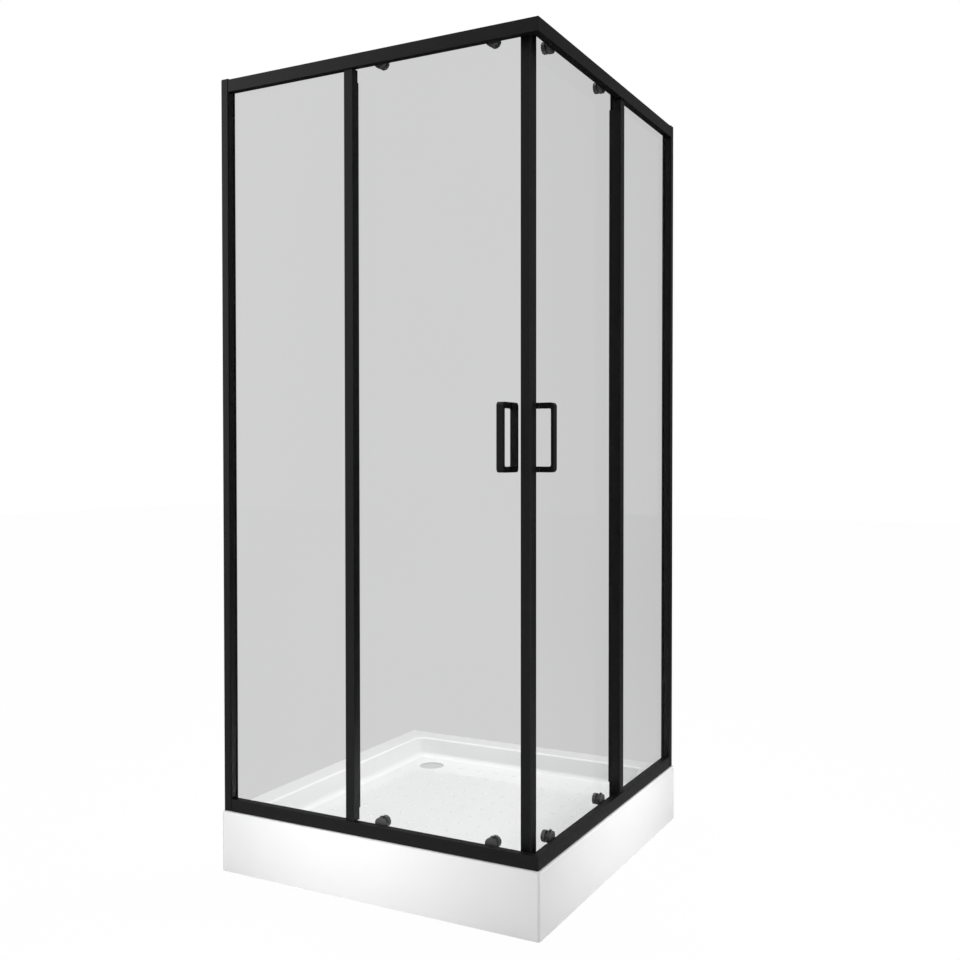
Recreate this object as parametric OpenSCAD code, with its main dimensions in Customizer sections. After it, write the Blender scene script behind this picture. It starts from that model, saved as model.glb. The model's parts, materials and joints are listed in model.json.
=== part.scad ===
// Square corner-entry shower cabin on a low tray, in millimetres.
// Two glazed faces meet at the entry corner; each has a fixed pane, a post and a sliding door.

/* [Tray] */
// Width of the square tray along each wall
tray_w = 900; // [860:5:1000]
// Height of the tray's rim above the floor
tray_h = 153; // [135:1:200]
// Width of the rim from the tray's edge to the basin
rim_w = 68; // [62:1:100]
// Depth of the basin below the rim
basin_depth = 53; // [45:1:60]
// Slope of the basin wall, as the distance it leans in from rim to floor
basin_draft = 10; // [4:1:16]
// Radius of the basin's upright corners at the rim
basin_corner_r = 28; // [25:1:80]
// Radius where the basin wall meets its floor
floor_roll_r = 20; // [10:1:25]
// Radius where the rim turns down into the basin
rim_roll_r = 8; // [4:0.5:12]
// Radius of the tray's outer upright corners
tray_corner_r = 7; // [7:0.5:20]
// Radius along the tray's outer top edge
tray_edge_r = 5; // [3:0.5:7]
// Thickness of the moulded shell
shell_t = 5; // [4:0.5:6]
// Height of the lip that turns down on the two wall sides
wall_lip_h = 40; // [30:1:60]
// Width of the stiffening return along the foot of each skirt
skirt_return = 14; // [10:1:20]
// Diameter of the drain hole
drain_d = 72; // [60:1:90]
// Width of the sloped seat round the drain hole
drain_seat_w = 5; // [3:0.5:8]
// Depth of the sloped seat round the drain hole
drain_seat_depth = 2.5; // [1:0.5:3.5]
// Distance from the left wall edge to the drain's centre
drain_from_left = 170; // [150:1:200]
// Distance from the rear wall edge to the drain's centre
drain_from_rear = 160; // [150:1:200]
// Spacing of the raised studs on the basin floor
stud_pitch = 60; // [50:1:80]
// Diameter of a stud at its foot
stud_d = 13; // [9:0.5:16]
// Diameter of a stud at its top
stud_top_d = 8; // [4:0.5:8]
// Height of a stud
stud_h = 1.6; // [1:0.1:2.5]
// Clear floor between the drain's seat and the nearest studs
stud_drain_gap = 14; // [8:1:25]

/* [Support frame] */
// Side of the square steel tube
tube_w = 25; // [20:1:28]
// Wall of the steel tube
tube_t = 1.5; // [1.2:0.1:2]
// Half the length of the tubes that run from left to right
frame_half = 335; // [300:1:340]
// Distance from the tray's centre to the front tube
frame_front = 280; // [240:1:300]
// Distance from the tray's centre to the middle tube, towards the rear
frame_middle = 120; // [80:1:140]
// Distance from the tray's centre to the rear ends of the cross tubes
frame_rear = 345; // [330:1:350]
// Distance of the left cross tube from the tray's centre
cross_left = 150; // [120:1:170]
// Distance of the right cross tube from the tray's centre
cross_right = 200; // [150:1:260]
// Diameter of the foot's screw
foot_screw_d = 12; // [10:1:14]
// Diameter of the foot's pad
foot_pad_d = 50; // [40:1:60]
// Height of the foot's pad
foot_pad_h = 12; // [10:1:18]
// Distance of each foot from its tube's end
foot_in = 22; // [18:1:40]
// Height of a locknut
locknut_h = 8; // [6:0.5:10]
// Width of a locknut across its flats
locknut_w = 19; // [17:1:22]

/* [Enclosure] */
// Height of the enclosure above the rim
frame_h = 1850; // [1700:10:2000]
// Distance from the tray's open edges to the rails' outer faces
front_inset = 6.5; // [5:0.5:10]
// Distance from the tray's wall edges to the backs of the wall profiles
wall_inset = 3.5; // [2:0.5:8]

/* [Rails] */
// Height of the rail's outer box
rail_h = 31; // [29:0.5:36]
// Depth of the rail's outer box
rail_d = 17; // [16:0.5:20]
// Wall of the rail's box and fins
rail_t = 1.5; // [1.3:0.1:1.8]
// Thickness of the rail's closed web
web_t = 2; // [1.8:0.1:2.4]
// Distance from the closed web's face to the edge of the rib that the wheels run on
rib_h = 19; // [19:0.5:20]
// Height of the rib
rib_rise = 2; // [1.8:0.1:2.4]
// Height of the lip behind the fixed pane
lip_h = 26; // [25.5:0.5:28]
// Height of the lip along the web's inner edge
web_lip_h = 1; // [0.8:0.1:1.2]
// Bore of the screw ports inside the rails and posts
port_d = 4; // [3.8:0.1:4.2]
// Wall of the screw ports
port_t = 1.4; // [1.2:0.1:1.6]
// Length of a corner key's arm
key_len = 60; // [40:1:80]
// Clearance round a corner key inside the rails
key_gap = 0.2; // [0.1:0.05:0.4]

/* [Fixed panes] */
// Thickness of every pane
glass_t = 5; // [4:0.5:6]
// Thickness of the glazing seal on each side of a fixed pane
glazing_t = 0.9; // [0.7:0.1:1.2]
// Thickness of the glazing seal under the edge of a fixed pane
glazing_base_t = 1.4; // [1:0.1:2]
// Chamfer ground along the panes' edges
arris = 0.6; // [0.3:0.1:1]
// Width of the wall profile along the face
wall_profile_w = 20; // [19:1:24]
// Depth of the wall profile
wall_profile_d = 28.5; // [28:0.5:46]
// Wall of the wall profile
wall_profile_t = 1.6; // [1.4:0.1:2]
// Clearance between the jamb and the wall profile
jamb_gap = 0.3; // [0.2:0.05:0.5]
// Distance that the jamb stands out of the wall profile
jamb_reveal = 2; // [1:0.5:6]
// Depth of the pocket that holds the fixed pane in the jamb and in the post
pocket_depth = 11; // [9:0.5:12]
// Thickness of the cap on the wall profile
cap_t = 2.5; // [2:0.5:4]
// Distance from the entry corner to the post
post_s = 490; // [470:1:520]
// Width of the post along the face
post_w = 24.5; // [22:0.5:28]
// Distance from the rail's outer face to the post's
post_set_back = 4; // [2:0.5:5]
// Depth of the post
post_d = 21.5; // [21.5:0.5:23]
// Distance at each end over which the post's seal stops short
post_seal_stop = 24; // [24:1:50]

/* [Doors] */
// Gap between the wheels' working faces and what they face
run_gap = 0.3; // [0.2:0.05:0.4]
// Thickness of a roller body between wheel and pane
roller_body_t = 11; // [10.8:0.1:14]
// Distance from the rail's web to the panes' ends
pane_end_h = 5; // [4:0.5:7]
// Width of the closing profile along the face
closing_w = 26; // [25:0.5:32]
// Distance that the closing profile stands out of the pane's outer face
closing_proud = 5; // [4.5:0.5:7]
// Thickness of the closing profile's legs beside the pane
closing_t = 1.5; // [1.2:0.1:2]
// Depth of the slot that grips the pane in the closing profile
closing_grip = 8; // [7:0.5:10]
// Thickness of the magnetic seal
magnet_t = 3; // [2.5:0.1:4]
// Gap between the two magnetic seals when both doors are shut
magnet_gap = 0.4; // [0.3:0.05:0.6]
// Distance that the door reaches past the post when it is shut
door_overlap = 5.5; // [1:0.5:8]
// Distance left between the open door and the jamb
open_margin = 18; // [12:1:30]

/* [Rollers] */
// Radius of the wheel's groove
tread_r = 5.7; // [5.4:0.1:5.8]
// Radius of the wheel's flanges
flange_r = 7; // [6.6:0.1:7.1]
// Thickness of each flange
flange_t = 2; // [1.6:0.1:2.2]
// Radius of the wheel's axle
axle_r = 3; // [2.5:0.1:3.2]
// Running clearance between axle and wheel
bore_gap = 0.05; // [0.03:0.01:0.08]
// Radius of a top roller's body
top_body_r = 15; // [12:0.5:15]
// Distance that a top roller's body hangs below its axle
top_body_drop = 4.5; // [4.5:0.5:7]
// Radius of the round ends of a bottom roller's housing
low_body_r = 12.5; // [12:0.5:13]
// Distance between the centres of those round ends
low_body_stretch = 9; // [2:0.5:10]
// Distance that a bottom roller's housing sits above its axle
low_body_rise = 15.5; // [15:0.5:17]
// Radius of the caps inside the panes
cap_r = 14; // [10:0.5:15]
// Thickness of the caps inside the panes
cap_thick = 10; // [5:0.5:12]
// Radius of the caps' sleeves that pass through the panes
sleeve_r = 4.4; // [4:0.1:4.8]
// Depth of the caps' sleeves in the bodies
sleeve_in = 2; // [1.5:0.1:2.1]
// Radius of the holes in the panes for the sleeves
sleeve_hole_r = 5; // [5:0.5:6]
// Distance from the pane's leading edge to the near rollers
roller_near_in = 79.5; // [60:0.5:100]
// Distance from the pane's trailing edge to the far rollers
roller_far_in = 89; // [60:1:110]
// Travel of a release button
release_travel = 3.5; // [3:0.1:3.6]
// Width of a release button
button_w = 7; // [6:0.1:7.2]
// Depth of a release button
button_d = 5; // [4.4:0.1:5.2]
// Height of a release button above its housing
button_rise = 5; // [4.5:0.5:7]
// Width of the square stem inside the spring
stem_w = 3.8; // [3.4:0.1:3.8]
// Radius of the spring chamber in a bottom housing
chamber_r = 3.7; // [3.7:0.05:3.8]
// Wire of the return spring
spring_wire = 0.6; // [0.5:0.05:0.6]
// Turns of the return spring
spring_turns = 5; // [4:1:7]

/* [Handles] */
// Height of a handle
handle_h = 157; // [120:1:200]
// Width of a handle across the pane
handle_w = 18; // [14:1:24]
// Thickness of a handle's grip bar
handle_bar_t = 7; // [5:0.5:10]
// Height of each of a handle's arms
handle_arm_h = 13; // [12:0.5:18]
// Distance that a handle stands off its pane
handle_reach = 34.5; // [28:0.5:34.5]
// Height of the handles' middle above the rim
handle_z = 946; // [850:1:1050]
// Distance from the pane's leading edge to the handle's middle
handle_in = 44.5; // [40:0.5:55]
// Outer corner radius of a handle
handle_r = 9; // [5:0.5:12]
// Radius of the stud that joins a pair of handles
stud_rod_r = 3; // [2:0.5:3]

/* [Fasteners] */
// Diameter of the frame screws
screw_d = 3.8; // [3.5:0.1:3.8]
// Radius of the frame screws' heads
screw_head_r = 3.1; // [2.8:0.1:3.2]
// Height of the frame screws' heads
screw_head_h = 2; // [1.6:0.1:2.4]
// Length of a screw in its port
screw_len = 18; // [12:1:25]
// Radius of the wall fixing holes
wall_hole_r = 2.75; // [2:0.25:3.5]
// Distance between the outer pair of wall fixing holes
wall_hole_outer = 1560; // [1300:10:1640]
// Distance between the inner pair of wall fixing holes
wall_hole_inner = 520; // [400:10:700]
// Distance between the screws that fix the jamb
jamb_screw_pitch = 640; // [500:10:780]

/* [Hidden] */

$fn = 48;
eps = 0.01;
over = 1;

// Finishes
black_coat = [0.11, 0.11, 0.115];
roller_grey = [0.25, 0.25, 0.26];
soft_black = [0.07, 0.07, 0.07];
acrylic_white = [0.95, 0.95, 0.95];
steel = [0.72, 0.73, 0.75];
nylon = [0.85, 0.85, 0.82];
glass_tint = [0.78, 0.82, 0.83, 0.35];

// Plan of the enclosure, measured from the tray's centre
corner = tray_w / 2 - front_inset;
face_len = tray_w - front_inset - wall_inset;
wall_profile_s = face_len - wall_profile_w;
jamb_s = wall_profile_s - jamb_reveal;

// Depths inwards from the rails' outer faces
slot_w = glass_t + 2 * glazing_t;
lip_d0 = rail_d + slot_w;
lip_d1 = lip_d0 + rail_t;
rib_d = (lip_d0 + lip_d1) / 2;
groove_w = rail_t + 1;
wheel_w = groove_w + 2 * flange_t;
wheel_d0 = rib_d - wheel_w / 2;
wheel_d1 = rib_d + wheel_w / 2;
body_d0 = wheel_d1 + run_gap;
pane_d0 = body_d0 + roller_body_t;
pane_d1 = pane_d0 + glass_t;
closing_d0 = pane_d0 - closing_proud;
closing_d1 = pane_d1 + closing_t;
web_lip_gap = 0.6;
rail_depth = closing_d1 + web_lip_gap + rail_t;

// Heights from a rail's closed web
axle_h = rib_h - run_gap - tread_r;
ledge_h = rib_h + rib_rise;
pane_seat_h = ledge_h + rail_t + glazing_base_t;

// Places along a face, from the entry corner
closing_s0 = closing_d0;
closing_s1 = closing_s0 + closing_w;
door_s0 = closing_s1 - closing_grip;
door_s1 = post_s + post_w + door_overlap;
travel = jamb_s - door_s1 - open_margin;
near_s = door_s0 + roller_near_in;
far_s = door_s1 - roller_far_in;
handle_s = door_s0 + handle_in;
pane_pocket = pocket_depth - glazing_base_t;
post_mid_s = post_s + post_w / 2;
fixed_s0 = post_s + post_w - pane_pocket;
fixed_s1 = jamb_s + pane_pocket;

// Screw ports
port_r = port_d / 2 + port_t;
port_sink = port_t / 3;
port_forward = 1;
port_place = [rail_d / 2 - port_forward, web_t + port_r - port_sink];
port_place_far = [port_place[0], rail_h - rail_t - port_r + port_sink];
post_port_d = rail_d - rail_t - port_r + port_sink;

// Jambs
jamb_d0 = wall_profile_t + jamb_gap;
jamb_depth = wall_profile_d - 2 * jamb_d0;
jamb_len = wall_profile_w - wall_profile_t;
jamb_screw_s = jamb_s + (pocket_depth + rail_t + jamb_len) / 2;
jamb_screw_heights = [frame_h / 2 - jamb_screw_pitch, frame_h / 2, frame_h / 2 + jamb_screw_pitch];
jamb_screw_len = 7;

// Handle studs
handle_stud_heights = [
    handle_z - (handle_h - handle_arm_h) / 2, handle_z + (handle_h - handle_arm_h) / 2
];
stud_in = 12;
stud_play = 1;
stud_hole_gap = 2;

// Play between moulded pieces, and the sleeves' seats in the bodies
slide_gap = 0.15;
sleeve_gap = 0.1;
sleeve_seat = sleeve_in + 2 * sleeve_gap;
body_bevel = 1.5;

// Top rollers
top_axle_z = frame_h - axle_h;
top_body_z = top_axle_z - top_body_drop;
axle_end_wall = 2;
axle_in = roller_body_t - sleeve_in - axle_end_wall;
axle_head_t = 2.2;

// Bottom rollers, heights above the rim
low_axle_z = axle_h;
low_body_z = low_axle_z + low_body_rise;
low_body_top = low_body_z + low_body_r;
carrier_gap = 0.6;
carrier_half_w = 5;
carrier_t = 8.5;
carrier_drop = 5;
carrier_rise = 4.4;
notch_z = low_axle_z + carrier_rise + carrier_gap;
chamber_floor_t = 3;
chamber_wall_t = 0.9;
chamber_d = body_d0 + chamber_wall_t + chamber_r;
chamber_floor_z = notch_z + chamber_floor_t;
button_slot_h = 7.5;
button_slot_z = low_body_top - button_slot_h;
button_z0 = button_slot_z + release_travel + slide_gap;
button_z1 = low_body_top + button_rise;
collar_t = 1.5;
collar_gap = 0.2;
collar_r = chamber_r - collar_gap;
collar_z = button_slot_z - collar_gap - collar_t;

// Basin
basin_w = tray_w - 2 * rim_w;
floor_z = tray_h - basin_depth;
drain_at = [drain_from_left - tray_w / 2, tray_w / 2 - drain_from_rear];
tube_top_z = floor_z - shell_t;
tube_z = tube_top_z - tube_w;
foot_hole_gap = 0.3;
foot_top_gap = 1;
foot_places = [
    [foot_in - frame_half, -frame_front], [frame_half - foot_in, -frame_front],
    [foot_in - frame_half, frame_middle], [frame_half - foot_in, frame_middle],
    [-cross_left, frame_rear - foot_in], [cross_right, frame_rear - foot_in]
];

// General shapes

// Rectangle centred on the origin with round corners
module round_rect(w, l, r) {
    square([w - 2 * r, l], center = true);
    square([w, l - 2 * r], center = true);
    for (x = [r - w / 2, w / 2 - r], y = [r - l / 2, l / 2 - r])
        translate([x, y]) circle(r);
}

// Bar of a section, from its low corner
module bar(x, y, w, h) {
    translate([x, y]) square([w, h]);
}

// Square tube along X, closed at both ends by the frame's end caps
module tube_along(length) {
    translate([-length / 2, -tube_w / 2, tube_z]) cube([length, tube_w, tube_w]);
}

module tube_core_along(length) {
    inner = tube_w - 2 * tube_t;
    translate([tube_t - length / 2, -inner / 2, tube_z + tube_t])
        cube([length - 2 * tube_t, inner, inner]);
}

// Disc along Y with a chamfer at both rims, from y to y + t
module disc(r, t, chamfer, fn = 64) {
    rotate([-90, 0, 0]) rotate_extrude($fn = fn)
        polygon([[0, 0], [r - chamfer, 0], [r, chamfer], [r, t - chamfer], [r - chamfer, t], [0, t]]);
}

// Each glazed face has its own frame: X runs along the face from the entry corner,
// Y runs inwards from the rails' outer faces, and Z runs up from the tray's rim.
module on_side() {
    translate([corner, -corner, tray_h]) rotate([0, 0, 90]) children();
}

module on_front() {
    translate([corner, -corner, tray_h]) mirror([1, 0, 0]) children();
}

module at_top() {
    translate([0, 0, frame_h]) mirror([0, 0, 1]) children();
}

// Tray

// Outside of the tray with its rolled top edge
module tray_body() {
    place = tray_w / 2 - tray_corner_r;
    hull() for (x = [-place, place], y = [-place, place]) translate([x, y, 0]) {
        cylinder(r = tray_corner_r, h = tray_h - tray_edge_r);
        translate([0, 0, tray_h - tray_edge_r]) rotate_extrude() intersection() {
            translate([tray_corner_r - tray_edge_r, 0]) circle(tray_edge_r, $fn = 32);
            square([tray_corner_r, tray_edge_r]);
        }
    }
}

// Basin's hollow up to a height, or its outside when it is grown by the shell's thickness
module basin_form(grow, top) {
    roll = floor_roll_r + grow;
    place = basin_w / 2 + grow - basin_draft - roll;
    wall_z = tray_h - rim_roll_r;
    hull() {
        translate([0, 0, wall_z]) linear_extrude(top - wall_z)
            round_rect(basin_w + 2 * grow, basin_w + 2 * grow, basin_corner_r + grow);
        for (x = [-place, place], y = [-place, place])
            translate([x, y, floor_z - grow + roll]) sphere(roll, $fn = 40);
    }
}

// Cut that turns the rim down into the basin with a quarter round
module rim_roll_cut() {
    steps = 3;
    function roll_out(i) = rim_roll_r * (1 - cos(90 * i / steps));
    function roll_z(i) = tray_h - rim_roll_r * (1 - sin(90 * i / steps));
    module ring(i) {
        w = basin_w + 2 * roll_out(i);
        translate([0, 0, roll_z(i)]) linear_extrude(i == steps ? over : eps)
            round_rect(w, w, basin_corner_r + roll_out(i));
    }
    for (i = [0 : steps - 1]) hull() {
        ring(i);
        ring(i + 1);
    }
}

// Hollow under the rim, open below, with the skirts' returns left in
module underside_hollow() {
    inner = tray_w - 2 * shell_t;
    foot = inner - 2 * skirt_return;
    r = tray_corner_r - shell_t;
    translate([0, 0, shell_t]) linear_extrude(tray_h - 2 * shell_t) round_rect(inner, inner, r);
    translate([0, 0, -over]) linear_extrude(tray_h - shell_t) square(foot, center = true);
}

// Parts of the skirt that the two walls hide, cut away above the floor
module wall_side_cuts() {
    cut_h = tray_h - wall_lip_h + over;
    deep = shell_t + skirt_return + over;
    reach = tray_w - shell_t + over;
    translate([-tray_w / 2 - over, shell_t - tray_w / 2, -over]) cube([deep, reach, cut_h]);
    translate([-tray_w / 2 - over, tray_w / 2 + over - deep, -over]) cube([reach, deep, cut_h]);
}

module drain_hole() {
    r = drain_d / 2;
    translate([drain_at[0], drain_at[1], 0]) {
        cylinder(r = r, h = tray_h, $fn = 64);
        translate([0, 0, floor_z - drain_seat_depth])
            cylinder(r1 = r, r2 = r + drain_seat_w, h = drain_seat_depth, $fn = 64);
        translate([0, 0, floor_z - eps]) cylinder(r = r + drain_seat_w, h = over, $fn = 64);
    }
}

module floor_studs() {
    flat = basin_w / 2 - basin_draft - floor_roll_r;
    count = floor(flat / stud_pitch);
    keep_off = drain_d / 2 + drain_seat_w + stud_drain_gap;
    for (i = [-count : count], j = [-count : count]) {
        at = [i, j] * stud_pitch;
        if (norm(at - drain_at) > keep_off) translate([at[0], at[1], floor_z - over]) {
            cylinder(d = stud_d, h = over + stud_h / 2, $fn = 24);
            translate([0, 0, over + stud_h / 2])
                cylinder(d1 = stud_d, d2 = stud_top_d, h = stud_h / 2, $fn = 24);
        }
    }
}

module tray() {
    color(acrylic_white) union() {
        difference() {
            union() {
                difference() {
                    tray_body();
                    underside_hollow();
                }
                basin_form(shell_t, tray_h - eps);
            }
            basin_form(0, tray_h - rim_roll_r + eps);
            rim_roll_cut();
            wall_side_cuts();
            drain_hole();
        }
        floor_studs();
    }
}

module support_frame() {
    cross_len = frame_front + frame_rear + tube_w / 2;
    cross_mid = (frame_rear - frame_front - tube_w / 2) / 2;
    color(steel) difference() {
        union() {
            for (y = [-frame_front, frame_middle]) translate([0, y, 0]) tube_along(2 * frame_half);
            for (x = [-cross_left, cross_right])
                translate([x, cross_mid, 0]) rotate([0, 0, 90]) tube_along(cross_len);
        }
        for (y = [-frame_front, frame_middle]) translate([0, y, 0]) tube_core_along(2 * frame_half);
        for (x = [-cross_left, cross_right])
            translate([x, cross_mid, 0]) rotate([0, 0, 90]) tube_core_along(cross_len);
        for (p = foot_places) translate([p[0], p[1], tube_z - over])
            cylinder(r = foot_screw_d / 2 + foot_hole_gap, h = tube_t + 2 * over);
    }
}

module tray_feet() {
    edge_h = 3;
    cone_h = 5;
    hub_r = foot_screw_d;
    screw_r = foot_screw_d / 2;
    top_z = tube_top_z - tube_t - foot_top_gap;
    color(soft_black) for (p = foot_places) translate([p[0], p[1], 0]) rotate_extrude() polygon([
        [0, 0], [foot_pad_d / 2, 0], [foot_pad_d / 2, edge_h], [hub_r, cone_h],
        [hub_r, foot_pad_h], [screw_r, foot_pad_h], [screw_r, top_z], [0, top_z]
    ]);
}

module foot_locknuts() {
    color(steel) for (p = foot_places) translate([p[0], p[1], tube_z - locknut_h]) difference() {
        cylinder(d = locknut_w / cos(30), h = locknut_h, $fn = 6);
        translate([0, 0, -over]) cylinder(d = foot_screw_d + 2 * bore_gap, h = locknut_h + 2 * over);
    }
}

// Wall profiles and jambs, drawn in a face's own frame

module wall_profile() {
    inner_d = wall_profile_d - 2 * wall_profile_t;
    color(black_coat) difference() {
        linear_extrude(frame_h) difference() {
            bar(wall_profile_s, 0, wall_profile_w, wall_profile_d);
            bar(wall_profile_s - over, wall_profile_t, wall_profile_w - wall_profile_t + over, inner_d);
        }
        for (step = [-wall_hole_outer, wall_hole_outer, -wall_hole_inner, wall_hole_inner])
            translate([face_len - 2 * wall_profile_t, wall_profile_d / 2, (frame_h + step) / 2])
                rotate([0, 90, 0]) cylinder(r = wall_hole_r, h = 3 * wall_profile_t, $fn = 32);
        for (z = jamb_screw_heights)
            translate([jamb_screw_s, wall_profile_d - 2 * wall_profile_t, z])
                rotate([-90, 0, 0]) cylinder(d = port_d, h = 3 * wall_profile_t, $fn = 32);
    }
}

module jamb() {
    color(black_coat) difference() {
        linear_extrude(frame_h) difference() {
            union() {
                difference() {
                    bar(jamb_s, jamb_d0, jamb_len, jamb_depth);
                    bar(jamb_s + rail_t, jamb_d0 + rail_t, jamb_len, jamb_depth - 2 * rail_t);
                }
                bar(jamb_s, rail_d - rail_t, pocket_depth + rail_t, slot_w + 2 * rail_t);
            }
            bar(jamb_s - over, rail_d, pocket_depth + over, slot_w);
        }
        for (z = jamb_screw_heights) translate([jamb_screw_s, jamb_d0 + jamb_depth - 2 * rail_t, z])
            rotate([-90, 0, 0]) cylinder(d = port_d, h = 3 * rail_t, $fn = 32);
        for (z = [port_place[1], port_place_far[1]]) {
            jamb_rail_hole(z);
            jamb_rail_hole(frame_h - z);
        }
    }
}

module jamb_rail_hole(z) {
    translate([jamb_s - over, port_place[0], z])
        rotate([0, 90, 0]) cylinder(d = port_d, h = rail_t + 2 * over, $fn = 32);
}

// Cap on the top ends of wall profile and jamb, with two tabs inside the jamb
module wall_profile_cap() {
    edge_r = 1.5;
    tab_t = 2;
    tab_h = 10;
    tab_gap = 0.5;
    tab_s0 = jamb_s + pocket_depth + rail_t + tab_gap;
    tab_s1 = face_len - wall_profile_t - tab_gap;
    low_d = jamb_d0 + rail_t + tab_gap;
    high_d = jamb_d0 + jamb_depth - rail_t - tab_gap - tab_t;
    color(soft_black) {
        translate([(jamb_s + face_len) / 2, wall_profile_d / 2, frame_h])
            linear_extrude(cap_t) round_rect(face_len - jamb_s, wall_profile_d, edge_r);
        for (d = [low_d, high_d])
            translate([tab_s0, d, frame_h - tab_h]) cube([tab_s1 - tab_s0, tab_t, tab_h + eps]);
    }
}

// Rails: the bottom rail's section, with the closed web at height 0

module rail_section() {
    bar(0, 0, rail_depth, web_t);
    difference() {
        bar(0, 0, rail_d, rail_h);
        bar(rail_t, web_t, rail_d - 2 * rail_t, rail_h - web_t - rail_t);
    }
    bar(rail_depth - rail_t, 0, rail_t, web_t + web_lip_h);
    bar(rail_d - eps, ledge_h, lip_d1 - rail_d + eps, rail_t);
    bar(lip_d0, rib_h, rail_t, lip_h - rib_h);
    for (p = [port_place, port_place_far]) translate(p) circle(port_r, $fn = 32);
}

module rail() {
    wedge = rail_depth + 2 * over;
    color(black_coat) difference() {
        rotate([90, 0, 90]) linear_extrude(jamb_s) difference() {
            rail_section();
            for (p = [port_place, port_place_far]) translate(p) circle(port_d / 2, $fn = 32);
        }
        translate([0, 0, -over]) linear_extrude(rail_h + 2 * over)
            polygon([[-over, -over], [wedge, wedge], [-over, wedge]]);
        translate([post_mid_s, post_port_d, 0]) {
            translate([0, 0, -over]) cylinder(d = port_d, h = rail_h + 2 * over, $fn = 32);
            translate([0, 0, -eps]) cylinder(r1 = screw_head_r, r2 = port_d / 2, h = web_t, $fn = 32);
        }
    }
}

// L-shaped key inside two mitred rails
module corner_key() {
    low = port_place[1] + port_r + key_gap;
    high = port_place_far[1] - port_r - key_gap;
    inset = rail_t + key_gap;
    depth = rail_d - 2 * inset;
    module arm() {
        difference() {
            translate([inset, inset, low]) cube([key_len - inset, depth, high - low]);
            for (i = [1 : 3])
                translate([rail_d + i * (key_len - rail_d) / 4, rail_d / 2, low - over])
                    cylinder(r = depth / 4, h = high - low + 2 * over, $fn = 32);
        }
    }
    color(steel) union() {
        arm();
        mirror([1, -1, 0]) arm();
    }
}

// Posts

module post_section() {
    hollow_s = post_s + post_w - pocket_depth - rail_t;
    back = post_set_back + post_d;
    front_hollow = rail_d - post_set_back - 2 * rail_t;
    difference() {
        union() {
            difference() {
                bar(post_s, post_set_back, post_w, post_d);
                bar(post_s + rail_t, post_set_back + rail_t, post_w - 2 * rail_t, front_hollow);
            }
            translate([post_mid_s, post_port_d]) circle(port_r, $fn = 32);
        }
        translate([post_mid_s, post_port_d]) circle(port_d / 2, $fn = 32);
        bar(post_s + rail_t, rail_d, hollow_s - post_s - rail_t, back - rail_d - rail_t);
        bar(post_s + post_w - pocket_depth, rail_d, pocket_depth + over, slot_w);
    }
}

module post() {
    color(black_coat) translate([0, 0, rail_h]) linear_extrude(frame_h - 2 * rail_h) post_section();
}

module post_seal() {
    back = post_set_back + post_d;
    tip = pane_d0 - run_gap;
    base_w = 9;
    base_t = 1.2;
    fin_t = 1;
    s0 = post_s + 2 * rail_t;
    s1 = s0 + base_w;
    root = (s0 + s1 - fin_t) / 2;
    color(soft_black) translate([0, 0, rail_h + post_seal_stop])
        linear_extrude(frame_h - 2 * (rail_h + post_seal_stop)) polygon([
            [s0, back], [s1, back], [s1, back + base_t], [root + fin_t, back + base_t],
            [root + fin_t, tip], [root, tip], [root, back + base_t], [s0, back + base_t]
        ]);
}

// Panes

// Upright pane with ground edges, from one end to the other
module pane(s0, s1, d0, z0, z1) {
    d1 = d0 + glass_t;
    translate([0, 0, z0]) linear_extrude(z1 - z0) polygon([
        [s0 + arris, d0], [s1 - arris, d0], [s1, d0 + arris], [s1, d1 - arris],
        [s1 - arris, d1], [s0 + arris, d1], [s0, d1 - arris], [s0, d0 + arris]
    ]);
}

module fixed_pane() {
    color(glass_tint) pane(fixed_s0, fixed_s1, rail_d + glazing_t, pane_seat_h, frame_h - pane_seat_h);
}

// Channel seal on the fixed pane's edge: its outer leg, its inner leg and its base, across one slot
module glazing_section(outer, inner) {
    bar(0, 0, slot_w, glazing_base_t);
    bar(0, 0, glazing_t, outer);
    bar(slot_w - glazing_t, 0, glazing_t, inner);
}

module rail_glazing() {
    seat = ledge_h + rail_t;
    post_edge = post_s + post_w;
    translate([post_edge, rail_d, seat]) rotate([90, 0, 90])
        linear_extrude(jamb_s - post_edge) glazing_section(rail_h - seat, lip_h - seat);
}

module upright_glazing() {
    linear_extrude(frame_h - 2 * rail_h) mirror([1, 0]) rotate([0, 0, 90])
        glazing_section(pocket_depth, pocket_depth);
}

module glazing_seal() {
    color(soft_black) {
        rail_glazing();
        at_top() rail_glazing();
        translate([post_s + post_w - pocket_depth, rail_d, rail_h]) upright_glazing();
        translate([jamb_s + pocket_depth, rail_d, rail_h]) mirror([1, 0, 0]) upright_glazing();
    }
}

// Doors

module door_pane() {
    color(glass_tint) difference() {
        pane(door_s0, door_s1, pane_d0, pane_end_h, frame_h - pane_end_h);
        for (s = [near_s, far_s], z = [low_body_z, top_body_z])
            translate([s, pane_d0 - over, z])
                rotate([-90, 0, 0]) cylinder(r = sleeve_hole_r, h = glass_t + 2 * over);
        for (z = handle_stud_heights)
            translate([handle_s, pane_d0 - over, z])
                rotate([-90, 0, 0]) cylinder(r = stud_rod_r + stud_hole_gap, h = glass_t + 2 * over);
    }
}

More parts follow.
